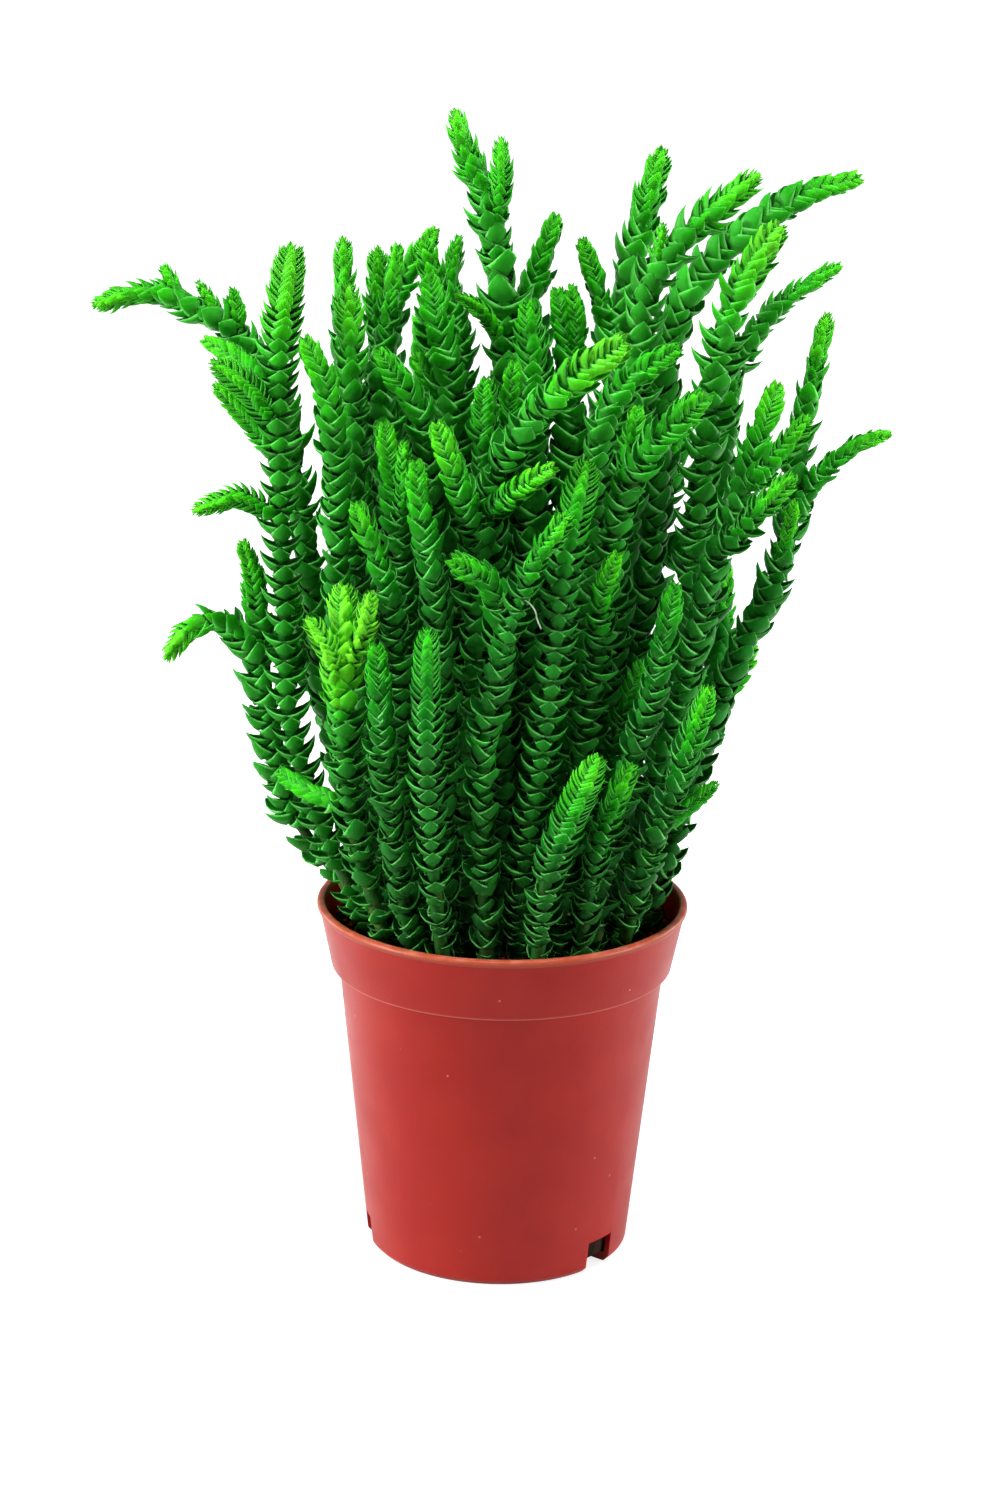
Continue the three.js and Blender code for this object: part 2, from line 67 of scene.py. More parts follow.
# Every stem: leaf-tip radius, points from the soil up, then its shoots in the same form.
stems = {
    "left_weeping": (2.6, [(-20, 0, 48), (-25, 0, 56), (-30, 0, 63), (-34, 0, 71), (-36, 0, 83),
        (-38, 0, 92), (-43, 0, 96), (-47, 0, 94), (-50, 0, 90)], [
        (2.5, [(-36, 0, 90), (-37, 0, 100), (-39, 0, 108)]),
    ]),
    "left_tall": (3.5, [(-18, -6, 48), (-26, -6, 66), (-31, -6, 82), (-32, -6, 99), (-33, -6, 133),
        (-31, -7, 152)], [
        (3, [(-33, -6, 125), (-37, -8, 132), (-42, -9, 136)]),
        (2.5, [(-33, -6, 129), (-38, -1, 134), (-44, 2, 137)]),
        (2.5, [(-33, -6, 122), (-38, -5, 128), (-42, -5, 132)]),
        (2.5, [(-33, -6, 112), (-38, -7, 116), (-45, -8, 114)]),
    ]),
    "far_left": (2.8, [(-16, 3, 48), (-22, 4, 64), (-27, 5, 89), (-30, 5, 111), (-33, 5, 127),
        (-37, 5, 135), (-42, 5, 139), (-48, 5, 142), (-53, 5, 143), (-60, 5, 141)], [
        (2.2, [(-48, 5, 141), (-50, 5, 147)]),
        (2.2, [(-43, 5, 139), (-45, 4, 145)]),
        (2.4, [(-38, 5, 136), (-40, 4, 144)]),
    ]),
    "left_rear": (2.8, [(-13, 7, 48), (-19, 8, 78), (-23, 8, 108), (-24, 7, 151)], []),
    "left_upright": (3.2, [(-14, -3, 48), (-19, -4, 76), (-22, -5, 101), (-23, -4, 146)], []),
    "left_forked": (3, [(-9, 10, 48), (-14, 11, 77), (-18, 11, 107), (-20, 10, 149)], [
        (2.6, [(-20, 10, 132), (-18, 8, 142), (-17, 8, 150)]),
    ]),
    "left_bowed": (2.8, [(-5, 15, 48), (-10, 16, 75), (-15, 17, 106), (-19, 17, 132),
        (-16, 16, 144), (-12, 15, 151)], []),
    "middle_hooked": (2.9, [(-4, 8, 48), (-6, 8, 78), (-8, 8, 108), (-8, 8, 135), (-11, 7, 145),
        (-13, 6, 151)], [
        (2.4, [(-9, 8, 139), (-9, 9, 145), (-8, 10, 151)]),
    ]),
    "middle_left": (3.3, [(-8, 2, 48), (-9, 1, 80), (-9, 0, 110), (-9, 0, 131), (-11, -1, 140),
        (-12, -1, 147)], [
        (2.4, [(-9, 0, 128), (-14, 2, 135)]),
    ]),
    "topmost": (3, [(1, 6, 48), (0, 6, 78), (-1, 6, 134), (-2, 6, 147), (-4, 6, 157), (-7, 6, 164),
        (-9, 6, 171)], [
        (2.6, [(-3, 6, 151), (-2, 4, 158), (-2, 4, 166)]),
        (2.4, [(-1, 6, 137), (-4, 3, 141), (-8, 2, 144)]),
    ]),
    "middle_rear": (2.9, [(6, 12, 48), (4, 12, 76), (2, 11, 134), (3, 11, 144), (6, 11, 154)], []),
    "middle_upright": (3.1, [(4, -1, 48), (3, -2, 81), (3, -2, 130), (2, -3, 144)], []),
    "right_inner": (2.9, [(10, 4, 48), (9, 4, 79), (9, 3, 109), (8, 2, 133), (6, 1, 145)], [
        (2.2, [(8, 2, 132), (9, 1, 139), (8, 0, 146)]),
    ]),
    "right_tallest": (3.2, [(11, 9, 48), (13, 10, 77), (16, 10, 108), (17, 10, 138), (19, 10, 152),
        (22, 10, 165)], [
        (2.6, [(16, 10, 133), (13, 9, 145), (11, 8, 151)]),
    ]),
    "right_arm": (3.3, [(12, -2, 48), (14, -1, 80), (18, 0, 138), (21, 0, 149), (26, 0, 155),
        (34, 0, 162)], [
        (2.3, [(21, 0, 148), (21, 0, 155)]),
    ]),
    "right_far_arm": (2.9, [(15, 6, 48), (18, 7, 78), (20, 8, 108), (21, 9, 134), (26, 10, 146),
        (35, 11, 154), (42, 12, 158), (49, 13, 160)], []),
    "right_bright": (3.3, [(17, -4, 48), (22, -5, 77), (26, -6, 102), (28, -6, 126), (30, -6, 141),
        (33, -6, 149), (37, -7, 156)], []),
    "right_rear": (2.9, [(19, 4, 48), (25, 5, 78), (29, 6, 103), (31, 6, 124), (32, 6, 138)], [
        (2.4, [(32, 6, 130), (36, 7, 140), (42, 8, 145), (47, 9, 148)]),
    ]),
    "right_edge": (2.8, [(20, 0, 48), (25, 0, 64), (29, 0, 80), (35, 0, 95), (40, 0, 108),
        (41, 0, 122), (45, 0, 144)], [
        (2.3, [(40, 0, 111), (44, -2, 119), (49, -3, 124), (54, -3, 126)]),
        (2.3, [(38, 0, 104), (41, -3, 116)]),
    ]),
    "right_low": (3.1, [(17, -9, 48), (21, -10, 74), (25, -10, 90), (28, -10, 106), (31, -10, 115),
        (37, -7, 134)], [
        (2.8, [(32, -10, 117), (37, -13, 125), (41, -15, 131)]),
        (2.8, [(29, -10, 108), (34, -15, 117), (39, -17, 123)]),
    ]),
    "right_short": (2.9, [(14, -13, 48), (18, -15, 73), (21, -16, 89), (24, -17, 107)], []),
    "right_front": (2.9, [(18, -12, 48), (19, -15, 65), (23, -17, 79), (27, -18, 93)], [
        (2.4, [(20, -16, 70), (25, -13, 74), (29, -12, 77)]),
    ]),
    "front_dark": (3, [(12, -8, 48), (12, -11, 69), (15, -14, 82), (18, -16, 94)], []),
    "front_stub": (2.8, [(11, -17, 48), (13, -19, 66), (15, -20, 74), (18, -21, 82)], []),
    "front_sprig": (3.1, [(5, -20, 48), (6, -22, 63), (8, -23, 71), (13, -25, 84)], []),
    "front_tall": (3.3, [(2, -15, 48), (3, -18, 68), (5, -19, 81), (7, -20, 98), (8, -20, 110),
        (11, -21, 126)], []),
    "front_right": (3.3, [(8, -12, 48), (11, -13, 74), (14, -15, 96), (16, -17, 117),
        (20, -20, 127), (27, -23, 135)], [
        (2.6, [(14, -15, 96), (14, -18, 105), (16, -20, 112)]),
        (2.5, [(17, -17, 120), (18, -16, 132)]),
    ]),
    "front_bright": (3.6, [(-5, -9, 48), (-5, -10, 78), (-4, -12, 103), (-3, -14, 118),
        (1, -18, 128), (7, -22, 136), (15, -26, 143)], [
        (3, [(-4, -13, 109), (-8, -17, 121), (-11, -19, 130)]),
        (2.6, [(-3, -14, 117), (1, -19, 121), (6, -22, 125)]),
    ]),
    "front_weeping": (3.2, [(-2, -19, 48), (-3, -19, 70), (-3, -19, 86), (-1, -19, 100),
        (-3, -21, 108), (-8, -24, 112)], [
        (2.6, [(-2, -19, 97), (3, -22, 110), (8, -24, 119)]),
    ]),
    "front_left": (3.1, [(-8, -14, 48), (-8, -15, 70), (-8, -15, 89), (-11, -16, 124)], []),
    "left_forward": (3, [(-12, -8, 48), (-13, -9, 78), (-14, -10, 101), (-17, -12, 128)], [
        (2.2, [(-15, -10, 108), (-14, -13, 119), (-14, -14, 126)]),
    ]),
    "left_nodding": (3.1, [(-8, -3, 48), (-10, -4, 81), (-12, -6, 109), (-13, -8, 127),
        (-19, -11, 138)], []),
    "left_slanting": (3.1, [(-17, -10, 48), (-22, -11, 69), (-24, -12, 88), (-25, -12, 127),
        (-29, -12, 140)], []),
    "middle_forward": (3, [(-1, -7, 48), (-1, -7, 77), (-2, -8, 102), (-4, -10, 120), (-4, -12, 134)], [
        (2.6, [(-3, -9, 112), (-1, -8, 124), (0, -9, 136)]),
    ]),
    "right_forward": (3.1, [(8, -6, 48), (10, -7, 82), (12, -8, 107), (12, -10, 123),
        (16, -12, 134), (23, -15, 140)], []),
    "front_yellow": (3.4, [(-17, -14, 48), (-21, -16, 68), (-22, -18, 83), (-22, -18, 106)], [
        (2.5, [(-22, -18, 92), (-19, -20, 100), (-18, -21, 106)]),
        (2.6, [(-22, -18, 88), (-24, -20, 97), (-27, -21, 102)]),
        (2.6, [(-22, -17, 72), (-27, -13, 74), (-32, -10, 76)]),
    ]),
    "front_plain": (3, [(-13, -17, 48), (-15, -19, 68), (-17, -20, 84), (-18, -20, 99)], []),
    "front_straight": (3.1, [(-8, -19, 48), (-12, -20, 69), (-13, -20, 84), (-13, -20, 101)], []),
    "left_fan": (2.9, [(-13, -13, 48), (-14, -13, 76), (-14, -14, 96), (-16, -14, 108),
        (-20, -15, 118)], []),
}

rearSettings = {
    "count": 14, "seed": 41, "bearings": (30, 152), "roots": (20, 16), "heights": (88, 138),
    "leans": (22, 11), "sways": (-9, 9), "radii": (2.7, 3.3),
    "bends": [(0, 0), (0.25, 0.33), (0.6, 0.68), (1, 1)],
    "shootRadius": 2.5, "shootLengths": (12, 24), "shootTurn": 28,
    "shootBends": [(0, 0), (0.4, 0.4), (0.5, 1)],
}
layoutSettings = {
    "step": 3.3, "fineness": 16, "soilTop": 48, "rimHeight": 54, "rimInner": 26.1, "rimGap": 0.5,
    "rimClear": 0.4, "rootReach": 20.6, "rootRadius": 1.85, "lowShare": 0.57, "lowLength": 22,
    "forkLength": 5, "tipLength": 11, "turnStep": 25, "turnSpan": 36, "forkTurn": 10,
    "gap": 0.5, "near": 14, "rounds": 300, "share": 0.5, "acrossView": 0.45, "stiffness": 0.2,
}


def mix(ends, share):
    return ends[0] + (ends[1] - ends[0]) * share


def makeDraw(seed):
    state = seed

    def draw():
        nonlocal state
        state = state * 16807 % 2147483647
        return state / 2147483647
    return draw


# The stems behind are fanned out by a rule.
def addRearStems(s, soilTop):
    draw = makeDraw(s["seed"])
    forkOut, forkUp = s["bends"][2]
    for i in range(s["count"]):
        bearing = mix(s["bearings"], i / (s["count"] - 1))
        foot = s["roots"][i % 2]
        tallness = draw()
        lean = mix(s["leans"], tallness)
        rise = mix(s["heights"], tallness) - soilTop
        sway = mix(s["sways"], draw())
        length = mix(s["shootLengths"], draw())
        side = -s["shootTurn"] if draw() < 0.5 else s["shootTurn"]

        def at(out, turn, up):
            angle = math.radians(bearing + turn)
            return ((foot + out) * math.cos(angle), (foot + out) * math.sin(angle), soilTop + up)

        route = [at(lean * out, sway * out, rise * up) for out, up in s["bends"]]
        shoot = [at(lean * forkOut + length * out, sway * forkOut + side * out,
                    rise * forkUp + length * up) for out, up in s["shootBends"]]
        stems[f"rear_{i + 1}"] = (mix(s["radii"], draw()), route, [(s["shootRadius"], shoot)])


# Points an equal step apart along the smooth curve through a route
def evenPoints(route, step, fineness):
    p = np.array(route, float)
    p = np.vstack([2 * p[0] - p[1], p, 2 * p[-1] - p[-2]])
    w = (np.arange(fineness) / fineness)[:, None]
    fine = []
    for a, b, c, d in zip(p, p[1:], p[2:], p[3:]):
        t0, t1 = (c - a) / 2, (d - b) / 2
        fine.append(b + t0 * w + (3 * (c - b) - 2 * t0 - t1) * w**2 + (2 * (b - c) + t0 + t1) * w**3)
    fine = np.vstack(fine + [p[-2:-1]])
    along = np.concatenate([[0], np.cumsum(np.linalg.norm(np.diff(fine, axis=0), axis=1))])
    count = int(along[-1] / step + 0.5)
    wanted = along[-1] * np.arange(count + 1) / count
    return np.stack([np.interp(wanted, along, fine[:, k]) for k in range(3)], 1)


# How far leaf tips reach, at a length along a strand: small low down and at the growing tip
def leafReach(strand, reached):
    s = layoutSettings
    length = (len(strand["points"]) - 1) * s["step"]
    lowLength = s["lowLength"] if strand["parent"] is None else s["forkLength"]
    low = mix((s["lowShare"], 1), np.minimum(1, reached / lowLength))
    blunt = np.clip(1 - (length - reached) / s["tipLength"], 0, 1)
    return strand["radius"] * low * np.sqrt(1 - blunt**2)


def layOut(s):
    strands = []
    for name, (radius, route, shoots) in stems.items():
        main = {"name": name, "radius": radius, "parent": None, "joint": 0,
                "points": evenPoints(route, s["step"], s["fineness"])}
        parent = len(strands)
        strands.append(main)
        for shootRadius, shootRoute in shoots:
            away = np.linalg.norm(main["points"] - np.array(shootRoute[0], float), axis=1)
            joint = int(np.argmin(away))
            points = evenPoints([main["points"][joint], *shootRoute[1:]], s["step"], s["fineness"])
            strands.append({"name": name, "radius": shootRadius, "parent": parent, "joint": joint,
                            "points": points})
    return strands


# Moves the strands of different stems apart, smoothly along each, and keeps them inside the rim
def moveApart(strands, s):
    longest = max(len(strand["points"]) for strand in strands)
    start = np.zeros((len(strands), longest, 3))
    reach = np.zeros((len(strands), longest))
    last = np.array([len(strand["points"]) - 1 for strand in strands])
    for row, strand in enumerate(strands):
        count = last[row] + 1
        start[row, :count] = strand["points"]
        reach[row, :count] = leafReach(strand, np.arange(count) * s["step"])
    mains = np.array([i for i, strand in enumerate(strands) if strand["parent"] is None])
    shoots = np.array([i for i, strand in enumerate(strands) if strand["parent"] is not None])
    parents = np.array([strands[i]["parent"] for i in shoots])
    joints = np.array([strands[i]["joint"] for i in shoots])
    reach[mains, 0] = s["rootRadius"]
    limitReach = reach.copy()
    limitReach[mains, 0] = 0
    names = np.array([list(stems).index(strand["name"]) for strand in strands])
    real = np.flatnonzero(np.arange(longest)[None] <= last[:, None])
    flat = start.reshape(-1, 3)[real]
    owner = np.repeat(names, longest)[real]
    away = sum((flat[:, None, k] - flat[None, :, k])**2 for k in range(3))
    first, second = np.nonzero(np.triu((away < s["near"]**2) & (owner[:, None] != owner[None])))
    first, second = real[first], real[second]
    spare = reach.ravel()[first] + reach.ravel()[second] + s["gap"]
    squeeze = np.array([s["acrossView"], 1, s["acrossView"]])
    points, moves = start.copy(), np.zeros_like(start)

    def settle(group, carried):
        moved, ends, rows = moves[group], last[group], np.arange(len(group))
        if carried is None:
            moved[:, 0, 2] = 0
        else:
            moved[:, 0] = 0
        for _ in range(2):
            for i in range(1, longest - 1):
                live = i < ends
                middle = (moved[live, i - 1] + moved[live, i + 1]) / 2
                moved[live, i] += (middle - moved[live, i]) * s["stiffness"]
        moved[rows, ends] += (moved[rows, ends - 1] - moved[rows, ends]) * s["stiffness"]
        base = start[group] if carried is None else start[group] + carried[:, None]
        placed = base + moved
        wide = limitReach[group]
        limit = np.where(wide > 0, s["rimInner"] - s["rimGap"] - wide, s["rootReach"])
        out = np.hypot(placed[..., 0], placed[..., 1])
        low = (out > limit) & (placed[..., 2] - wide < s["rimHeight"] + s["rimClear"])
        placed[..., :2] *= np.where(low, limit / np.maximum(out, limit), 1)[..., None]
        points[group], moves[group] = placed, placed - base

    for _ in range(s["rounds"]):
        flat = points.reshape(-1, 3)
        offset = flat[second] - flat[first]
        lack = spare - np.linalg.norm(offset, axis=1)
        hit = lack > 0
        push = offset[hit] * squeeze
        push *= (lack[hit] * s["share"] / np.linalg.norm(push, axis=1))[:, None]
        pushed = moves.reshape(-1, 3)
        np.subtract.at(pushed, first[hit], push)
        np.add.at(pushed, second[hit], push)
        settle(mains, None)
        settle(shoots, moves[parents, joints])
    for row, strand in enumerate(strands):
        strand["points"] = points[row, :last[row] + 1]


addRearStems(rearSettings, layoutSettings["soilTop"])
strands = layOut(layoutSettings)
moveApart(strands, layoutSettings)
print("laid out", len(strands), "strands of", len(stems), "stems")


def finishPiece(name, bm, materials, node, sharpAngle=None):
    mesh = bpy.data.meshes.new(name)
    bm.to_mesh(mesh)
    bm.free()
    for material in materials:
        mesh.materials.append(material)
    mesh.shade_smooth()
    if sharpAngle:
        mesh.set_sharp_from_angle(angle=math.radians(sharpAngle))
    piece = bpy.data.objects.new(name, mesh)
    bpy.context.scene.collection.objects.link(piece)
    if node:
        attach(piece, "root")
        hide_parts(node)
    return piece


# Materials

def newMaterial(name):
    material = bpy.data.materials.new(name)
    material.use_nodes = True
    tree = material.node_tree
    return material, tree, tree.nodes["Principled BSDF"]


# Links a node's sockets or gives them plain values; n0, n1 and so on name a socket by its number.
def fillSockets(tree, node, inputs):
    for key, value in inputs.items():
        socket = node.inputs[int(key[1:])] if key[0] == "n" and key[1:].isdigit() else node.inputs[key]
        if isinstance(value, bpy.types.NodeSocket):
            tree.links.new(value, socket)
        else:
            socket.default_value = value


def addNode(tree, kind, settings=None, **inputs):
    node = tree.nodes.new(kind)
    for key, value in (settings or {}).items():
        setattr(node, key, value)
    fillSockets(tree, node, inputs)
    return node


def addRamp(tree, value, stops):
    ramp = addNode(tree, "ShaderNodeValToRGB", n0=value)
    elements = ramp.color_ramp.elements
    while len(elements) < len(stops):
        elements.new(0.5)
    for element, (place, colour) in zip(elements, stops):
        element.position = place
        element.color = (*colour, 1)
    return ramp.outputs["Color"]


def addMix(tree, share, first, second):
    return addNode(tree, "ShaderNodeMix", {"data_type": "RGBA"}, n0=share, n6=first, n7=second).outputs[2]


def addMath(tree, operation, first, second=0.0):
    return addNode(tree, "ShaderNodeMath", {"operation": operation}, n0=first, n1=second).outputs[0]


def addRange(tree, value, low, high, toLow=0.0, toHigh=1.0, smooth=True):
    kind = "SMOOTHSTEP" if smooth else "LINEAR"
    node = addNode(tree, "ShaderNodeMapRange", {"interpolation_type": kind},
                   n0=value, n1=low, n2=high, n3=toLow, n4=toHigh)
    return node.outputs[0]


def addAttribute(tree, name):
    return addNode(tree, "ShaderNodeAttribute", {"attribute_name": name}).outputs["Fac"]


# Object coordinates in millimetres
def millimetres(tree):
    coordinates = addNode(tree, "ShaderNodeTexCoord")
    return addNode(tree, "ShaderNodeMapping", n0=coordinates.outputs["Object"],
                   Scale=(1 / mm,) * 3).outputs[0]


# Fine unevenness that every surface here shares: a soft patch mask and a small bump
def makeUnevenGroup():
    group = bpy.data.node_groups.new("unevenSurface", "ShaderNodeTree")
    face = group.interface
    face.new_socket("Place", in_out="INPUT", socket_type="NodeSocketVector")
    face.new_socket("Patch size", in_out="INPUT", socket_type="NodeSocketFloat")
    face.new_socket("Grain size", in_out="INPUT", socket_type="NodeSocketFloat")
    face.new_socket("Grain depth", in_out="INPUT", socket_type="NodeSocketFloat")
    face.new_socket("Patches", in_out="OUTPUT", socket_type="NodeSocketFloat")
    face.new_socket("Normal", in_out="OUTPUT", socket_type="NodeSocketVector")
    given = group.nodes.new("NodeGroupInput").outputs
    put = group.nodes.new("NodeGroupOutput").inputs
    patches = addNode(group, "ShaderNodeTexNoise", Vector=given["Place"], Detail=2.0,
                      Scale=addMath(group, "DIVIDE", 1.0, given["Patch size"]))
    grain = addNode(group, "ShaderNodeTexNoise", Vector=given["Place"], Detail=2.0,
                    Scale=addMath(group, "DIVIDE", 1.0, given["Grain size"]))
    bump = addNode(group, "ShaderNodeBump", Height=grain.outputs[0], Distance=mm,
                   Strength=given["Grain depth"])
    group.links.new(addRange(group, patches.outputs[0], 0.25, 0.75), put["Patches"])
    group.links.new(bump.outputs[0], put["Normal"])
    return group


unevenGroup = makeUnevenGroup()


def addUneven(tree, place, patchSize, grainSize, grainDepth):
    node = addNode(tree, "ShaderNodeGroup", {"node_tree": unevenGroup}, **{
        "Place": place, "Patch size": patchSize, "Grain size": grainSize, "Grain depth": grainDepth})
    return node.outputs["Patches"], node.outputs["Normal"]


# The pot: profile points are radius and height.

potSettings = {
    "height": 54, "rimRadius": 27.5, "baseRadius": 19.6, "baseRounding": 0.9, "wall": 1, "floor": 1.4,
    "bandHeight": 9.8, "wallTopRadius": 24.2, "bandRadius": 25.3, "lipRadius": 27.1, "lipHeight": 1.1,
    "lipBevel": 0.3, "rounding": 0.22, "roundingSteps": 3, "steps": 176,
    "notchBearings": (51, 165, -80), "notchWidth": 5.4, "notchHeight": 5, "notchDepth": 4,
    "red": (0.385, 0.014, 0.007), "deepRed": (0.345, 0.010, 0.006), "paleRed": (0.44, 0.028, 0.017),
    "lipHighlight": (0.34, 0.075, 0.03), "wornAndHighlit": (0.66, 0.24, 0.16), "dust": (0.8, 0.55, 0.42), "roughness": 0.34,
    "runShare": 0.15, "lipHighlightShare": 0.75, "wearShare": 0.35, "bandHighlightShare": 0.42, "dustShare": 0.35,
    "sharpAngle": 40,
    "glowThrough": 0.3, "glowRadius": (2.4, 0.25, 0.12),
    "specular": 0.26, "bloom": 0.35, "bloomRoughness": 0.12, "bloomTint": (1, 0.66, 0.64),
}


def potProfile(s):
    bandFoot = s["height"] - s["bandHeight"]
    lipFoot = s["height"] - s["lipHeight"]
    slope = (s["wallTopRadius"] - s["baseRadius"]) / bandFoot
    innerFoot = s["baseRadius"] + slope * s["floor"] - s["wall"]
    outside = [
        (0, 0), (s["baseRadius"] - s["baseRounding"], 0), (s["baseRadius"], s["baseRounding"]),
        (s["wallTopRadius"], bandFoot), (s["bandRadius"], bandFoot), (s["lipRadius"], lipFoot),
        (s["rimRadius"], lipFoot + s["lipBevel"]), (s["rimRadius"], s["height"] - s["lipBevel"]),
        (s["rimRadius"] - s["lipBevel"], s["height"]),
    ]
    inside = [
        (s["lipRadius"] - s["wall"] + s["lipBevel"], s["height"]), (s["lipRadius"] - s["wall"], lipFoot),
        (s["bandRadius"] - s["wall"], bandFoot + s["wall"]), (s["wallTopRadius"] - s["wall"], bandFoot),
        (innerFoot, s["floor"]), (0, s["floor"]),
    ]
    return outside + inside, innerFoot, bandFoot


# Turns a profile of (radius, height) into a closed solid, its corners rounded first.
def spinProfile(bm, profile, steps, rounding=0, roundingSteps=1):
    line = [bm.verts.new((radius * mm, 0, height * mm)) for radius, height in profile]
    for pair in zip(line, line[1:]):
        bm.edges.new(pair)
    if rounding:
        bmesh.ops.bevel(bm, geom=line[1:-1], offset=rounding * mm, affect="VERTICES",
                        segments=roundingSteps, profile=0.5, material=-1)
    bmesh.ops.spin(bm, geom=bm.verts[:] + bm.edges[:], cent=(0, 0, 0), axis=(0, 0, 1),
                   angle=math.tau, steps=steps, use_merge=True)
    bmesh.ops.remove_doubles(bm, verts=bm.verts, dist=mm * 1e-3)
    bmesh.ops.recalc_face_normals(bm, faces=bm.faces)


def makePotMaterial(s):
    material, tree, shader = newMaterial("satinRedPlastic")
    place = millimetres(tree)
    patches, normal = addUneven(tree, place, 9.0, 0.35, 0.035)
    height = addNode(tree, "ShaderNodeSeparateXYZ", n0=place).outputs[2]
    body = addMix(tree, patches, (*s["red"], 1), (*s["deepRed"], 1))
    # faint runs down the wall
    runs = addNode(tree, "ShaderNodeMapping", n0=place, Scale=(0.35, 0.35, 0.03))
    streaks = addNode(tree, "ShaderNodeTexNoise", Vector=runs.outputs[0], Scale=1.0, Detail=3.0)
    body = addMix(tree, addRange(tree, streaks.outputs[0], 0.5, 0.85, 0.0, s["runShare"]), body,
                  (*s["paleRed"], 1))
    # the thin lip is painted lighter orange, a painted highlight, and its top edge paler, partly wear and
    # partly a painted highlight
    lipFoot = s["height"] - s["lipHeight"]
    lipHighlight = addRange(tree, height, lipFoot - 0.1, lipFoot + 0.4, 0.0, s["lipHighlightShare"])
    body = addMix(tree, lipHighlight, body, (*s["lipHighlight"], 1))
    wearNoise = addNode(tree, "ShaderNodeTexNoise", Vector=place, Scale=0.5, Detail=3.0)
    wear = addMath(tree, "MULTIPLY", addRange(tree, wearNoise.outputs[0], 0.35, 0.75),
                   addRange(tree, height, s["height"] - 0.6, s["height"] - 0.05, 0.0, s["wearShare"]))
    body = addMix(tree, wear, body, (*s["wornAndHighlit"], 1))
    # a painted highlight: a pale line along the foot of the band
    bandFoot = s["height"] - s["bandHeight"]
    above = addRange(tree, height, bandFoot - 0.25, bandFoot - 0.05)
    below = addRange(tree, height, bandFoot + 0.12, bandFoot + 0.4, 1.0, 0.0)
    line = addMath(tree, "MULTIPLY", addMath(tree, "MULTIPLY", above, below), s["bandHighlightShare"])
    body = addMix(tree, line, body, (*s["wornAndHighlit"], 1))
    # specks of dust
    dots = addNode(tree, "ShaderNodeTexVoronoi", Vector=place, Scale=0.42)
    chosen = addRange(tree, addNode(tree, "ShaderNodeSeparateColor", n0=dots.outputs["Color"]).outputs[0],
                      0.8, 0.81)
    speck = addMath(tree, "MULTIPLY", addRange(tree, dots.outputs["Distance"], 0.05, 0.09, 1.0, 0.0), chosen)
    body = addMix(tree, addMath(tree, "MULTIPLY", speck, s["dustShare"]), body, (*s["dust"], 1))
    fillSockets(tree, shader, {
        "Base Color": body, "Normal": normal, "Specular IOR Level": s["specular"],
        "Roughness": addRange(tree, patches, 0.0, 1.0, s["roughness"] - 0.03, s["roughness"] + 0.04),
        # the moulded plastic has a pale bloom, which shows where it turns away
        "Sheen Weight": s["bloom"], "Sheen Roughness": s["bloomRoughness"], "Sheen Tint": (*s["bloomTint"], 1),
        "Subsurface Weight": s["glowThrough"], "Subsurface Radius": s["glowRadius"], "Subsurface Scale": mm,
    })
    return material


def makePot(s):
    profile, innerFoot, bandFoot = potProfile(s)
    bm = bmesh.new()
    spinProfile(bm, profile, s["steps"], s["rounding"], s["roundingSteps"])
    piece = finishPiece("nurseryPot", bm, [makePotMaterial(s)], None)
    cutters = bmesh.new()
    for bearing in s["notchBearings"]:
        box = bmesh.ops.create_cube(cutters, size=1)["verts"]
        size = Matrix.Diagonal((s["notchWidth"] * mm, 2 * s["notchDepth"] * mm,
                                2 * s["notchHeight"] * mm, 1))
        there = Matrix.Rotation(math.radians(bearing), 4, "Z") @ Matrix.Translation(
            (0, -s["baseRadius"] * mm, 0))
        bmesh.ops.transform(cutters, matrix=there @ size, verts=box)
    cutter = finishPiece("notchCutter", cutters, [], None)
    cut = piece.modifiers.new("notches", "BOOLEAN")
    cut.object, cut.operation, cut.solver = cutter, "DIFFERENCE", "EXACT"
    mesh = bpy.data.meshes.new_from_object(piece.evaluated_get(bpy.context.evaluated_depsgraph_get()))
    piece.modifiers.clear()
    piece.data = mesh
    bpy.data.objects.remove(cutter)
    mesh.shade_smooth()
    mesh.set_sharp_from_angle(angle=math.radians(s["sharpAngle"]))
    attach(piece, "root")
    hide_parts("pot")
    print("pot has", len(mesh.polygons), "faces")
    return innerFoot, bandFoot


innerFoot, bandFoot = makePot(potSettings)

# The soil: an uneven top on the pot's filling, with crumbs and bark lying on it

soilSettings = {
    "top": 48, "gap": 0.3, "steps": 120, "rings": 44, "roll": 0.75, "lumps": 0.35, "seed": 7,
    "crumbs": 1500, "crumbSize": (0.35, 1.15), "bark": 400, "barkSize": (0.9, 2.4), "barkInner": 0.78,
    "reach": 25.2, "heap": 3.8, "heapReach": (18, 25), "wallGlowReach": (19, 23),
    "crumbShape": (1, 0.85, 0.7), "crumbTones": (0, 1), "barkShape": (1, 0.4, 0.22), "barkTones": (0.6, 0.96),
    "fillTones": (0, 0.4), "smallness": 2.2, "slant": 0.5, "sink": 0.25, "stretch": (0.7, 1.2),
    "knobs": (0.8, 1.15), "highest": 4.4, "sharpAngle": 50, "rollWave": 0.11, "lumpWave": 0.9,
    "dark": (0.012, 0.007, 0.005), "brown": (0.055, 0.024, 0.014), "redBarkAndWallGlow": (0.95, 0.06, 0.03),
    "pale": (0.32, 0.24, 0.16), "wallGlowShare": 0.6, "darkShare": 0.45,
}


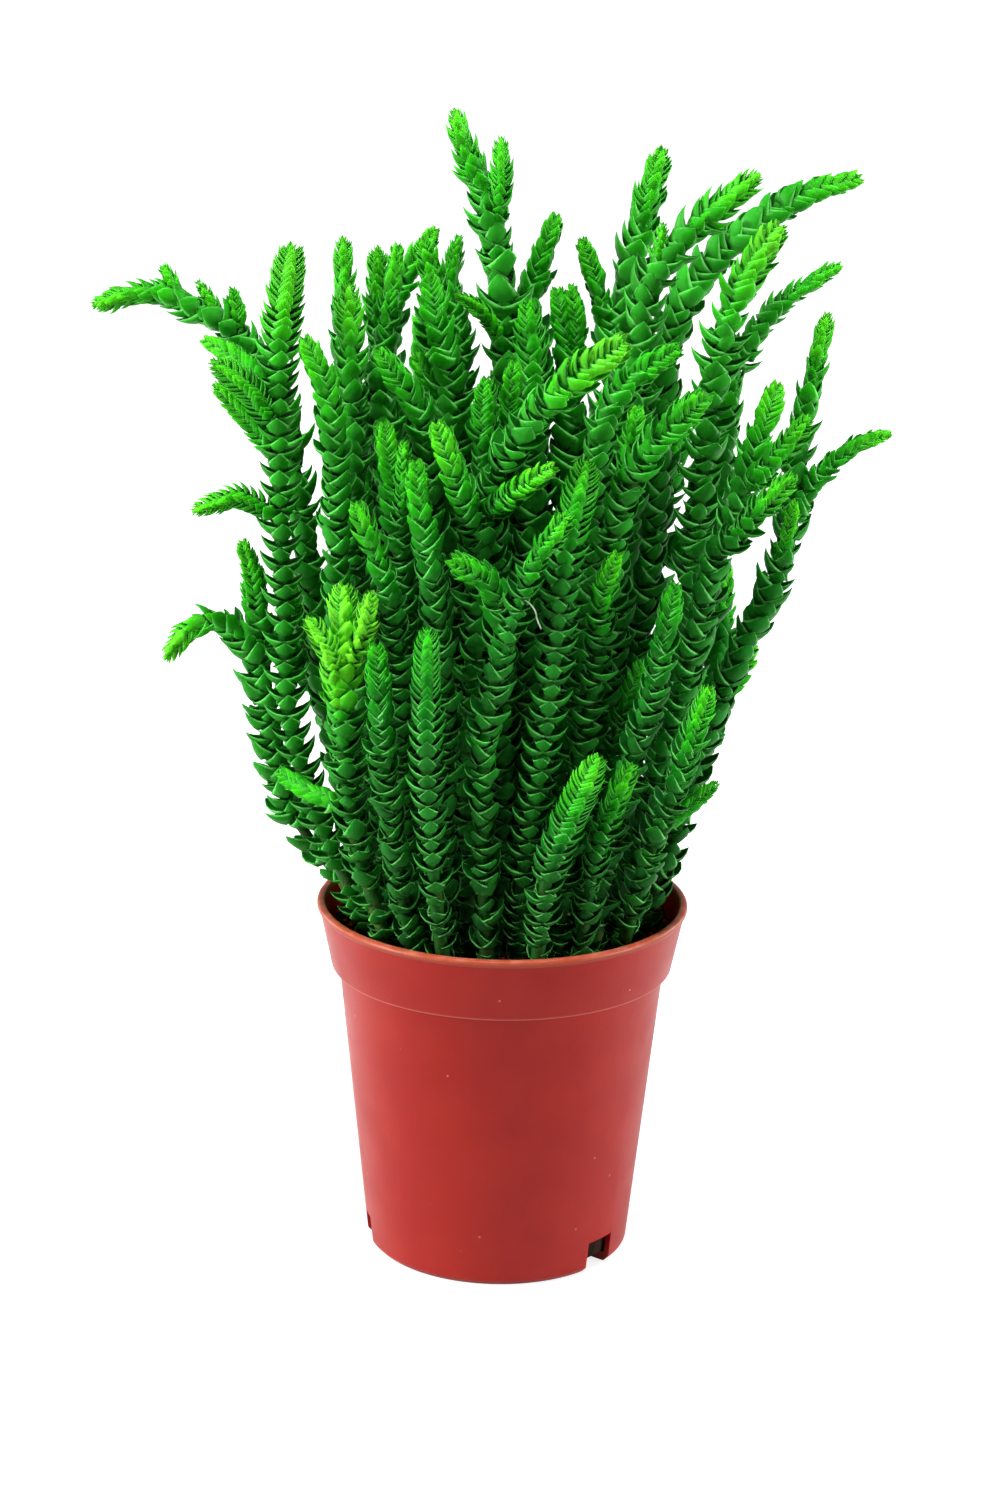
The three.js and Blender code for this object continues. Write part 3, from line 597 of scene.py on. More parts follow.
def soilHeight(x, y, s):
    roll = noise.noise(Vector((x * s["rollWave"], y * s["rollWave"], 3.1)))
    lumps = noise.noise(Vector((x * s["lumpWave"], y * s["lumpWave"], 7.7)))
    # the soil is heaped a little against the wall, at the sides most of all
    distance = math.hypot(x, y)
    near = min(1, max(0, (distance - s["heapReach"][0]) / (s["heapReach"][1] - s["heapReach"][0])))
    heap = s["heap"] * near**2 * (x / max(distance, 1))**2
    return s["roll"] * roll + s["lumps"] * lumps + heap


def makeSoilMaterial(s):
    material, tree, shader = newMaterial("pottingSoil")
    place = millimetres(tree)
    patches, normal = addUneven(tree, place, 1.6, 0.4, 0.5)
    tone = addAttribute(tree, "tone")
    own = addRamp(tree, tone, [(0.0, s["dark"]), (0.45, s["brown"]), (0.72, s["brown"]),
                               (0.8, s["redBarkAndWallGlow"]), (0.955, s["redBarkAndWallGlow"]), (0.97, s["pale"])])
    # near the wall the crumbs and bark are painted redder: painted red light thrown on them by the pot wall
    flat = addNode(tree, "ShaderNodeVectorMath", {"operation": "MULTIPLY"}, n0=place, n1=(1, 1, 0)).outputs[0]
    away = addNode(tree, "ShaderNodeVectorMath", {"operation": "LENGTH"}, n0=flat).outputs["Value"]
    wallGlow = addMath(tree, "MULTIPLY", addRange(tree, away, *s["wallGlowReach"], 0.0, s["wallGlowShare"]),
                       addRange(tree, tone, 0.4, 0.5))
    own = addMix(tree, wallGlow, own, (*s["redBarkAndWallGlow"], 1))
    colour = addMix(tree, addRange(tree, patches, 0.0, 1.0, 0.0, s["darkShare"]), own, (*s["dark"], 1))
    fillSockets(tree, shader, {"Base Color": colour, "Normal": normal, "Specular IOR Level": 0.08,
                               "Roughness": addRange(tree, patches, 0.0, 1.0, 0.75, 0.95)})
    return material


def makeSoil(s, pot, innerFoot, bandFoot):
    wall, gap, top = pot["wall"], s["gap"], s["top"]
    lipFoot = pot["height"] - pot["lipHeight"]
    rise = (top - bandFoot - wall) / (lipFoot - bandFoot - wall)
    topRadius = mix((pot["bandRadius"], pot["lipRadius"]), rise) - wall - gap
    surface = [(topRadius * (1 - k / s["rings"]), top) for k in range(s["rings"] + 1)]
    bm = bmesh.new()
    spinProfile(bm, [
        (0, pot["floor"] + gap), (innerFoot - gap, pot["floor"] + gap),
        (pot["wallTopRadius"] - wall - gap, bandFoot), (pot["bandRadius"] - wall - gap, bandFoot + wall + gap),
        *surface], s["steps"])
    for vert in bm.verts:
        if vert.co.z > (top - 0.01) * mm:
            vert.co.z += soilHeight(vert.co.x / mm, vert.co.y / mm, s) * mm
    toneLayer = bm.verts.layers.float.new("tone")
    draw = random.Random(s["seed"])
    for vert in bm.verts:
        vert[toneLayer] = draw.uniform(*s["fillTones"])
    loose = [(s["crumbSize"], s["crumbShape"], s["crumbTones"], 0)] * s["crumbs"]
    loose += [(s["barkSize"], s["barkShape"], s["barkTones"], s["barkInner"])] * s["bark"]
    for sizes, shape, tones, inner in loose:
        distance = s["reach"] * mix((inner, 1), math.sqrt(draw.random()))
        bearing = draw.uniform(0, math.tau)
        x, y = distance * math.cos(bearing), distance * math.sin(bearing)
        size = mix(sizes, draw.random()**s["smallness"])
        lie = Matrix.Rotation(draw.uniform(0, math.tau), 4, "Z") @ Matrix.Rotation(
            draw.uniform(-s["slant"], s["slant"]), 4, "Y")
        height = top + soilHeight(x, y, s) + size * shape[2] * s["sink"]
        spot = Matrix.Translation(Vector((x, y, height)) * mm)
        form = Matrix.Diagonal((*(size * side * draw.uniform(*s["stretch"]) * mm / 2 for side in shape), 1))
        crumb = bmesh.ops.create_icosphere(bm, subdivisions=1, radius=1)["verts"]
        for vert in crumb:
            vert.co *= draw.uniform(*s["knobs"])
        bmesh.ops.transform(bm, matrix=spot @ lie @ form, verts=crumb)
        tone = mix(tones, draw.random())
        for vert in crumb:
            vert[toneLayer] = tone
            vert.co.z = min(vert.co.z, (top + s["highest"]) * mm)
            out = math.hypot(vert.co.x, vert.co.y) / mm
            if out > topRadius:
                vert.co.x *= topRadius / out
                vert.co.y *= topRadius / out
    piece = finishPiece("soilFill", bm, [makeSoilMaterial(s)], "soil",
                        s["sharpAngle"])
    print("soil has", len(piece.data.polygons), "faces")


makeSoil(soilSettings, potSettings, innerFoot, bandFoot)

# Leaves. One leaf is shaped lying in x (out from the stem) and z (up it), then copied to every place.

leafSettings = {
    "length": 3.3, "belly": 0.14, "clasp": 0.24, "claspFade": 6, "bulgeFade": 2.2,
    "thicknesses": (1.3, 0.7), "innerShare": 0.4, "foot": 0.85, "lift": 0.45,
    "startAngle": 24, "endAngle": 68, "cup": 0.25, "wrap": 1.25, "drawnReach": 3.05,
    "openSpans": [(0, 0.16), (0.5, 0.28), (1, 0.44), (2, 0.62), (3, 0.73), (4.5, 0.85), (6, 0.92), (8, 0.98),
                  (24, 1.04)],
    "openClosings": [(0, 20), (3, 14), (8, 11), (12, 6), (20, 0)],
    "closedSpans": [(0, 0.2), (1, 0.42), (2, 0.58), (3, 0.7), (4.5, 0.8), (8, 0.86), (12, 0.93), (24, 1.18)],
    "depthSpans": [(-8, 0.82), (0, 0.98), (8, 1.12)], "spanZone": 30,
    "pitches": [(0, 0.25), (5, 0.32), (9, 0.42), (13, 0.75), (18, 1.05), (30, 1.25), (45, 1.35), (200, 1.4)],
    "firstLeaf": 0.6, "lowPitch": 0.62, "lastLeaf": 0.5,
    "closedClosings": [(0, 28), (1, 25), (2, 23), (3, 23), (4.5, 25), (8, 26), (12, 22), (16, 18), (22, 15)],
    "closedness": 0.55, "lowSlim": 1.3, "spin": 45, "rearFuller": 1.15,
    "tiltJitter": 15, "turnJitter": 18, "lowJitter": 1.4, "calmJitter": 0.4, "calmZone": 14,
    "sizeJitter": 0.27, "bareShare": 0.45,
    "seed": 23, "fineStep": 0.4, "youngZone": 19, "youngRise": 0.8, "youngSlim": 0.92, "slimZone": 11,
    "twist": 0.5, "capZone": (70, 40), "capFoot": 0.6, "shootFreshness": 0.35, "lowShare": 0.92,
    "pitchJitter": 0.1, "zoneJitter": 0.25, "freshZone": 38, "keptFreshness": 0.6, "lowFreshness": 0.35,
    "shootFirstLeaf": 0.5, "pitchFoot": 0.7, "pitchRise": 0.3, "usualRadius": 3.2,
}

# How much fresher than the rest some stems are, from the newest growth to the shaded old stems
freshness = {
    "front_yellow": 1.2, "front_bright": 0.6, "left_tall": 0.6, "right_bright": 0.5, "front_sprig": 0.1,
    "left_upright": 0.3, "left_weeping": 0.25, "far_left": 0.3, "front_straight": -0.25, "right_short": -0.25,
    "left_slanting": 0.15, "front_plain": -0.25, "right_edge": 0.2, "right_low": 0.15, "right_arm": 0.2,
    "left_rear": 0.2, "left_forked": 0.2, "left_bowed": 0.15, "right_tallest": 0.1, "right_far_arm": 0.15,
    "front_dark": -0.25, "right_front": -0.1, "topmost": 0.15, "right_inner": -0.1, "middle_upright": -0.1,
    "front_stub": -0.2, "front_weeping": -0.12, "front_left": -0.1, "middle_forward": -0.12,
    "right_forward": -0.1, "front_right": -0.05, "middle_left": -0.1, "left_nodding": -0.1,
}

# How tightly the leaves at a tip are closed
closedness = {
    "left_tall": 0.1, "left_rear": 1, "left_forked": 1, "left_bowed": 1, "far_left": 0.8,
    "topmost": 0.9, "middle_hooked": 0.9, "middle_rear": 1, "right_tallest": 0.8,
    "right_far_arm": 0.8, "left_nodding": 0.7, "front_left": 0.7, "right_edge": 1, "right_rear": 0.9,
    "front_tall": 0, "right_bright": 0.2, "front_yellow": 0.3, "front_sprig": 0, "front_bright": 0.4,
    "front_right": 0.2, "front_weeping": 0.4,
}
# By how much less than its route a stem is leafy
shortened = {"topmost": 1.5, "right_tallest": 1.4, "right_edge": 1.6, "front_tall": 1}
# The leaf ranks of these stems face the front squarely.
squareStems = ("front_tall", "front_sprig", "front_straight", "left_tall")
# These have the rounder leaves, the next one is turned, and the last one's shoots are as fresh as itself.
roundStems = ("front_tall", "front_sprig", "left_weeping")
turned = {"front_bright": 45}
freshShoots = ("front_yellow",)
# The leaves of these stand out a little further.
fuller = {"middle_rear": 1.2, "right_inner": 1.2, "middle_upright": 1.15, "right_rear": 1.1,
          "middle_left": 1.1, "left_nodding": 1.1, "right_forward": 1.1, "left_weeping": 1.12}

# The low parts of some stems have shed more of their leaves.
bareShares = {"left_weeping": 1.5, "left_slanting": 0.8, "front_yellow": 0.9, "left_tall": 0.4}
stalkSettings = {"bottom": 40, "radius": 0.3, "lowRadius": 1.1, "bareLength": 16, "sides": 8, "every": 4,
                 "greenAge": 0.3, "endGap": 4, "taperFoot": 0.45, "taperLength": 12, "greening": 40}

# Leaf forms: a slim one for the tips, a full one, a rounder one for the stems that face the front
# squarely, and one with fewer faces for the stems behind
leafForms = {
    "young": {"around": 6, "rings": 5, "halfWidth": 1.1, "bluntness": 3.2, "thickness": 0.42},
    "full": {"around": 8, "rings": 6, "halfWidth": 1.25, "bluntness": 3.4, "thickness": 0.46},
    "round": {"around": 8, "rings": 6, "halfWidth": 1.16, "bluntness": 4, "thickness": 0.62},
    "rear": {"around": 6, "rings": 5, "halfWidth": 1.3, "bluntness": 4, "thickness": 0.5},
}


def makeLeafMesh(s, form):
    bm = bmesh.new()
    bmesh.ops.create_uvsphere(bm, u_segments=form["around"], v_segments=form["rings"], radius=1)
    alongLayer = bm.verts.layers.float.new("alongLeaf")
    outerLayer = bm.verts.layers.float.new("outerSide")
    start, end = math.radians(s["startAngle"]), math.radians(s["endAngle"])
    bend = s["length"] / (end - start)
    for vert in bm.verts:
        along = (1 + vert.co.z) / 2
        ring = math.hypot(vert.co.x, vert.co.y)
        sideways = vert.co.x / ring if ring > 0.01 else 0
        outward = vert.co.y / ring if ring > 0.01 else 0
        width = form["halfWidth"] * (1 - along**form["bluntness"])
        width *= 1 + s["belly"] * math.sin(math.pi * along)
        width = (width + s["clasp"] * (1 - along)**s["claspFade"]) * sideways
        bulge = form["thickness"] * mix(s["thicknesses"], along) * (1 - along**s["bulgeFade"])
        bulge *= 1 if outward > 0 else s["innerShare"]
        raised = bulge * outward - s["cup"] * sideways**2 * (1 - along)
        angle = mix((start, end), along)
        x = s["foot"] + bend * (math.sin(angle) - math.sin(start)) + math.sin(angle) * raised
        x -= s["wrap"] * sideways**2 * (1 - along)**2
        z = bend * (math.cos(start) - math.cos(angle)) - math.cos(angle) * raised
        z += s["lift"] * sideways**2 * (1 - along)**2
        vert.co = Vector((x, width, z)) * mm
        vert[alongLayer] = along
        vert[outerLayer] = outward
    bmesh.ops.recalc_face_normals(bm, faces=bm.faces)
    mesh = bpy.data.meshes.new("oneLeaf")
    bm.to_mesh(mesh)
    bm.free()
    return mesh


# Places along a strand: points an even step apart, with the way up and the side that faces across
def carryFrames(strand, turn, step):
    points = evenPoints(strand["points"], step, layoutSettings["fineness"])
    up = np.gradient(points, axis=0)
    up /= np.linalg.norm(up, axis=1)[:, None]
    across = np.array([math.cos(turn), math.sin(turn), 0])
    sides = []
    for axis in up:
        across = across - axis * (across @ axis)
        across /= np.linalg.norm(across)
        sides.append(across)
    frames = []
    for point, axis, side in zip(points, up, sides):
        frame = np.eye(4)
        frame[:3, 0], frame[:3, 1], frame[:3, 2] = side, np.cross(axis, side), axis
        frame[:3, 3] = point * mm
        frames.append(Matrix(frame))
    return frames


# Carries a ring along placed frames; places are frames and radii.
def sweepRing(bm, places, sides):
    ring = bmesh.ops.create_circle(bm, cap_ends=True, segments=sides, radius=1)["verts"]
    edges = list({edge for vert in ring for edge in vert.link_edges})
    before, rings = Matrix.Identity(4), []
    for k, (frame, radius) in enumerate(places):
        if k:
            made = bmesh.ops.extrude_edge_only(bm, edges=edges)["geom"]
            ring = [item for item in made if isinstance(item, bmesh.types.BMVert)]
            edges = [item for item in made if isinstance(item, bmesh.types.BMEdge)
                     and all(vert in ring for vert in item.verts)]
        there = frame @ Matrix.Diagonal((radius * mm, radius * mm, mm, 1))
        bmesh.ops.transform(bm, matrix=there @ before.inverted(), verts=ring)
        before = there
        rings.append(ring)
    bmesh.ops.contextual_create(bm, geom=edges)
    return rings


def addStalk(bm, strand, frames, s, layers):
    count = len(frames)
    length = (len(strand["points"]) - 1) * layoutSettings["step"]
    barest = strand["name"] in bareShares
    places, ages = [], []
    if strand["parent"] is None:
        lowest = frames[0].copy()
        lowest.translation.z = s["bottom"] * mm
        places.append((lowest, s["lowRadius"]))
        ages.append(0 if barest else s["greenAge"])
    for i in range(0, count - s["endGap"], s["every"]):
        reached = length * i / (count - 1)
        full = strand["radius"] * s["radius"]
        bare = 1 - min(1, reached / s["bareLength"]) if strand["parent"] is None else 0
        taper = min(1, s["taperFoot"] + (length - reached) / s["taperLength"])
        places.append((frames[i], mix((full, s["lowRadius"]), bare) * taper))
        age = max(reached / s["greening"], 0 if barest else s["greenAge"])
        ages.append(age if strand["parent"] is None else 1)
    for ring, age in zip(sweepRing(bm, places, s["sides"]), ages):
        for vert in ring:
            vert[layers["age"]] = age


def addLeaves(bm, leaves, strand, frames, s, layers, draw):
    count = len(frames)
    length = (len(strand["points"]) - 1) * layoutSettings["step"]
    lowLength = layoutSettings["lowLength"] if strand["parent"] is None else layoutSettings["forkLength"]
    firstLeaf = s["firstLeaf"] if strand["parent"] is None else strand["radius"] * s["shootFirstLeaf"]
    whole = length
    length -= shortened.get(strand["name"], 0) if strand["parent"] is None else 0
    reached, pair, twist = length - s["lastLeaf"], 0, draw.uniform(-1, 1) * s["twist"]
    spin = draw.uniform(-1, 1) * s["spin"] * (strand["name"] not in squareStems)
    spin += turned.get(strand["name"], 0) if strand["parent"] is None else 0
    closed = closedness.get(strand["name"], s["closedness"])
    grown = "round" if strand["name"] in roundStems else "full"
    grown = "rear" if strand["name"].startswith("rear") else grown
    calm = s["calmJitter"] if strand["name"] in squareStems else 1
    own = freshness.get(strand["name"], 0)
    if strand["parent"] is not None and strand["name"] not in freshShoots:
        own *= s["shootFreshness"]
    zone = 1 + draw.uniform(-1, 1) * s["zoneJitter"]
    oldSpan = float(np.interp(strand["points"][0][1], *zip(*s["depthSpans"])))
    oldSpan *= fuller.get(strand["name"], s["rearFuller"] if grown == "rear" else 1)
    while reached > firstLeaf:
        fromTip = length - reached
        low = 1 - min(1, reached / lowLength)
        # each of the two is between its value for open and for closed tips
        closing, share = (
            mix([float(np.interp(fromTip, *zip(*s[kind + key]))) for kind in ("open", "closed")], closed)
            for key in ("Closings", "Spans"))
        closing, reach = math.radians(closing), strand["radius"] * share
        reach *= mix((1, oldSpan), min(1, fromTip / s["spanZone"])) * mix((1, s["lowShare"]), low)
        slim = mix((s["youngSlim"], 1), min(1, fromTip / s["slimZone"])) * mix((1, s["lowSlim"]), low)
        leaf = leaves["young" if fromTip < s["slimZone"] else grown]
        frame = frames[min(count - 1, round(reached / whole * (count - 1)))]
        untidy = mix((1, s["lowJitter"]), low) * calm
        untidy *= mix((s["calmJitter"], 1), min(1, fromTip / s["calmZone"]))
        for side in (0, 180):
            tilt = -closing + math.radians(draw.uniform(-1, 1) * s["tiltJitter"] * untidy)
            turn = 90 * (pair % 2) + side + draw.uniform(-1, 1) * s["turnJitter"] * untidy
            turn += twist * fromTip + spin
            size = reach / s["drawnReach"] * (1 + draw.uniform(-1, 1) * s["sizeJitter"] * untidy)
            tone, bare = draw.random(), draw.random()
            if strand["parent"] is None and bare < bareShares.get(strand["name"], s["bareShare"]) * low:
                continue
            start = len(bm.verts)
            bm.from_mesh(leaf)
            bm.verts.ensure_lookup_table()
            fresh = bm.verts[start:start + len(leaf.vertices)]
            placed = frame @ Matrix.Rotation(math.radians(turn), 4, "Z") @ Matrix.Rotation(tilt, 4, "Y")
            form = Matrix.Diagonal((size, size * slim, size, 1))
            bmesh.ops.transform(bm, matrix=placed @ form, verts=fresh)
            young = max(0, 1 - fromTip / s["youngZone"])**s["youngRise"]
            kept = max(s["keptFreshness"], 1 - fromTip / s["freshZone"])
            raised = max(0, (frame.translation.z / mm - s["capZone"][0]) / s["capZone"][1])
            kept *= min(1, max(s["lowFreshness"], 2 * raised))
            for vert in fresh:
                vert[layers["age"]] = min(young + kept * own, s["capFoot"] + raised)
                vert[layers["young"]] = young
                vert[layers["tone"]] = tone
                vert[layers["height"]] = frame.translation.z / mm
        pitch = float(np.interp(fromTip * zone, *zip(*s["pitches"]))) * mix((1, s["lowPitch"]), low)
        pitch *= s["pitchFoot"] + s["pitchRise"] * strand["radius"] / s["usualRadius"]
        pitch *= 1 + draw.uniform(-1, 1) * s["pitchJitter"]
        reached -= pitch
        pair += 1


greenSettings = {
    "lowShadeGreen": (0.001, 0.03, 0.005), "deep": (0.001, 0.045, 0.006), "mid": (0.003, 0.14, 0.006),
    "fresh": (0.025, 0.42, 0.005), "tip": (0.13, 0.82, 0.008), "yellow": (0.27, 0.98, 0.03),
    "pale": (0.15, 0.55, 0.13), "bead": (0.06, 0.32, 0.06), "shade": (0.001, 0.03, 0.006), "ages": (-0.3, 1.3),
    "lowZone": (50, 84), "lowSide": (-26, -13), "crownZone": (95, 140),
    "litSide": (-14, -34), "roughness": 0.36, "stalk": (0.015, 0.11, 0.012),
    "bareStalk": (0.17, 0.25, 0.04), "scar": (0.07, 0.06, 0.02),
    "lowShade": 0.97, "litShare": 0.3, "crownLightShare": 0.5, "innerShade": 0.65, "darkTip": 0.2,
    "partingShade": 0.3, "marginShare": 0.75, "footLightShare": 0.25, "freshPatches": 0.12, "beadShare": 0.2,
    "specular": 0.1, "specularTint": (0.5, 1, 0.6), "glowThrough": 0.3, "glowRadius": (0.4, 1.0, 0.25),
}


def makeLeafMaterial(s):
    material, tree, shader = newMaterial("waxyLeaf")
    place = millimetres(tree)
    patches, normal = addUneven(tree, place, 2.2, 0.3, 0.1)
    age, young, tone = (addAttribute(tree, name) for name in ("age", "young", "tone"))
    along, outer = addAttribute(tree, "alongLeaf"), addAttribute(tree, "outerSide")
    height = addAttribute(tree, "height")
    aged = addMath(tree, "ADD", age, addRange(tree, tone, 0.0, 1.0, -0.08, 0.08, smooth=False))
    aged = addRange(tree, aged, *s["ages"], smooth=False)
    body = addRamp(tree, aged, [(0.0, s["deep"]), (0.19, s["mid"]), (0.4, s["mid"]), (0.61, s["fresh"]),
                                (0.81, s["tip"]), (1.0, s["yellow"])])
    across = addNode(tree, "ShaderNodeSeparateXYZ", n0=place).outputs[0]
    # low down, and less so on the left side, the leaves are darkened toward a near-black green: painted shade
    shaded = addMath(tree, "MULTIPLY", addRange(tree, height, *s["lowZone"], s["lowShade"], 0.0),
                     addRange(tree, across, *s["lowSide"], 0.3, 1.0))
    body = addMix(tree, shaded, body, (*s["lowShadeGreen"], 1))
    # the left side is lightened toward the fresh green: painted light from the left
    body = addMix(tree, addRange(tree, across, *s["litSide"], 0.0, s["litShare"]), body, (*s["fresh"], 1))
    # high up the leaves are lightened toward the fresh green: painted light falling on the crown
    crownLight = addRange(tree, height, *s["crownZone"], 0.0, s["crownLightShare"])
    body = addMix(tree, crownLight, body, (*s["fresh"], 1))
    # the inner sides are painted darker, a painted shade, and old tips are darker
    inner = addRange(tree, outer, -0.1, -0.8, 0.0, s["innerShade"])
    body = addMix(tree, inner, body, (*s["shade"], 1))
    dark = addMath(tree, "MULTIPLY", addRange(tree, along, 0.8, 1.0, 0.0, s["darkTip"]),
                   addRange(tree, young, 0.2, 0.5, 1.0, 0.0))
    body = addMix(tree, dark, body, (*s["shade"], 1))
    # below their tips the young leaves are painted darker, a painted shade that parts each from the next
    partingShade = addMath(tree, "MULTIPLY", addRange(tree, along, 0.7, 0.95, s["partingShade"], 0.0),
                      addRange(tree, young, 0.15, 0.45))
    body = addMix(tree, partingShade, body, (*s["mid"], 1))
    # the margins are paler, partly their own pale edge and partly painted light; the foot of the outer side is
    # paler, painted light thrown up from the floor
    margin = addMath(tree, "ABSOLUTE", outer)
    margin = addRange(tree, margin, 0.45, 0.03, 0.0, s["marginShare"])
    foot = addMath(tree, "MULTIPLY", addRange(tree, along, 0.55, 0.1, 0.0, s["footLightShare"]),
                   addRange(tree, outer, 0.1, 0.8))
    pale = addMath(tree, "MAXIMUM", margin, foot)
    body = addMix(tree, pale, body, (*s["pale"], 1))
    lively = addRange(tree, patches, 0.0, 1.0, 0.0, s["freshPatches"])
    body = addMix(tree, lively, body, (*s["fresh"], 1))
    # the bulging outer face catches more light
    bead = addMath(tree, "MULTIPLY", addRange(tree, outer, 0.3, 0.95), addRange(tree, along, 0.15, 0.55))
    bead = addMath(tree, "MULTIPLY", bead, addRange(tree, young, 0.0, 0.4, 1.0, 0.0))
    body = addMix(tree, addMath(tree, "MULTIPLY", bead, s["beadShare"]), body, (*s["bead"], 1))
    value = addMath(tree, "MULTIPLY", addRange(tree, tone, 0.0, 1.0, 0.8, 1.2, smooth=False),
                    addRange(tree, bead, 0.0, 1.0, 1.0, 1.12))
    varied = addNode(tree, "ShaderNodeHueSaturation", Color=body, Value=value)
    # the inner sides are dull
    rough = addRange(tree, patches, 0.0, 1.0, s["roughness"] - 0.06, s["roughness"] + 0.08)
    rough = addMath(tree, "MAXIMUM", rough, addRange(tree, outer, 0.3, -0.3, 0.0, 0.85))
    fillSockets(tree, shader, {
        "Base Color": varied.outputs[0], "Roughness": rough, "Normal": normal,
        "Specular IOR Level": s["specular"], "Specular Tint": (*s["specularTint"], 1),
        "Subsurface Weight": s["glowThrough"], "Subsurface Radius": s["glowRadius"], "Subsurface Scale": mm,
    })
    shader.subsurface_method = "BURLEY"
    return material


def makeStalkMaterial(s):
    material, tree, shader = newMaterial("greenStalk")
    place = millimetres(tree)
    patches, normal = addUneven(tree, place, 1.4, 0.35, 0.3)
    age = addAttribute(tree, "age")
    body = addRamp(tree, age, [(0.0, s["bareStalk"]), (0.3, s["stalk"]), (0.8, s["mid"]), (1.0, s["mid"])])
    body = addMix(tree, addRange(tree, patches, 0.5, 1.0, 0.0, 0.5), body, (*s["scar"], 1))
    fillSockets(tree, shader, {"Base Color": body, "Normal": normal, "Specular IOR Level": 0.15,
                               "Roughness": addRange(tree, patches, 0.0, 1.0, 0.45, 0.65)})
    return material


# A thin dried fibre caught among the leaves
fibreSettings = {
    "radius": 0.11, "sides": 5, "step": 0.35, "colour": (0.95, 1, 0.9), "dark": (0.6, 0.7, 0.52),
    "routes": {
        "front_tall": [[(2.2, -22.8, 105.9), (3.1, -22.9, 105.3), (3.8, -22.8, 104.3), (4.1, -22.3, 103.0),
                        (4.7, -21.2, 101.3)]],
    },
}


def makeFibreMaterial(s):
    material, tree, shader = newMaterial("driedFibre")
    patches, normal = addUneven(tree, millimetres(tree), 1.2, 0.2, 0.2)
    fillSockets(tree, shader, {"Base Color": addMix(tree, patches, (*s["colour"], 1), (*s["dark"], 1)),
                               "Normal": normal, "Roughness": 0.7})
    return material


def makeStems():
    s = leafSettings
    leaves = {key: makeLeafMesh(s, form) for key, form in leafForms.items()}
    materials = [makeLeafMaterial(greenSettings), makeStalkMaterial(greenSettings)]
    fibre = makeFibreMaterial(fibreSettings)
    draw = random.Random(leafSettings["seed"])
    total = 0
    for index, name in enumerate(stems):
        bm = bmesh.new()
        layers = {key: bm.verts.layers.float.new(key)
                  for key in ("age", "young", "tone", "height", "alongLeaf", "outerSide")}
        carried = []
        for strand in strands:
            if strand["name"] == name:
                turn = layoutSettings["turnStep"] * index % layoutSettings["turnSpan"]
                turn -= layoutSettings["turnSpan"] / 2
                turn += layoutSettings["forkTurn"] if strand["parent"] is not None else 0
                frames = carryFrames(strand, math.radians(turn), leafSettings["fineStep"])
                addStalk(bm, strand, frames, stalkSettings, layers)
                carried.append((strand, frames))
        for face in bm.faces:
            face.material_index = 1
        bmesh.ops.recalc_face_normals(bm, faces=bm.faces)
        for strand, frames in carried:
            addLeaves(bm, leaves, strand, frames, leafSettings, layers, draw)
        routes = fibreSettings["routes"].get(name, [])
        for route in routes:
            frames = carryFrames({"points": route}, 0, fibreSettings["step"])
            places = [(frame, fibreSettings["radius"]) for frame in frames]
            rings = sweepRing(bm, places, fibreSettings["sides"])
            made = {face for ring in rings for vert in ring for face in vert.link_faces}
            for face in made:
                face.material_index = 2
            bmesh.ops.recalc_face_normals(bm, faces=list(made))
        total += sum(len(face.verts) - 2 for face in bm.faces)
        finishPiece(f"leafyStem_{name}", bm, materials + [fibre] * bool(routes), f"stem_{name}")
    for leaf in leaves.values():
        bpy.data.meshes.remove(leaf)
    print("stems have", total, "triangles")


makeStems()

# Stage, light and camera

stageSettings = {
    "floorRadius": 3.0, "glow": (0.78, 1.0), "glowReach": (45, 140), "floorTone": 0.45,
    "mirrorReach": (-60, 20), "mirrorGlow": (0.1, 0.45),
    "cameraAim": (-0.735, 0, 77.01), "cameraAway": 567.64, "elevation": 0.2970, "roll": 0.01714,
    "focalPixels": 3866.4, "photoHeight": 1500, "sensor": 36,
    "behind": 1.0, "front": 0.03, "diffuseShare": 0.22, "glossyShare": 0.35,
    "boxAim": (0, 0, 0.09),
    "softboxes": [("leftBox", (-0.75, -0.24, 0.28), 0.45, 7.9), ("rightBox", (0.8, -0.2, 0.25), 0.45, 5.8),
                  ("leftRearBox", (-0.60, 0.40, 0.22), 0.45, 2.2),
                  ("rightRearBox", (0.62, 0.40, 0.2), 0.45, 2.2),
                  ("topBox", (-0.08, -0.26, 0.85), 0.3, 7.5)],
}


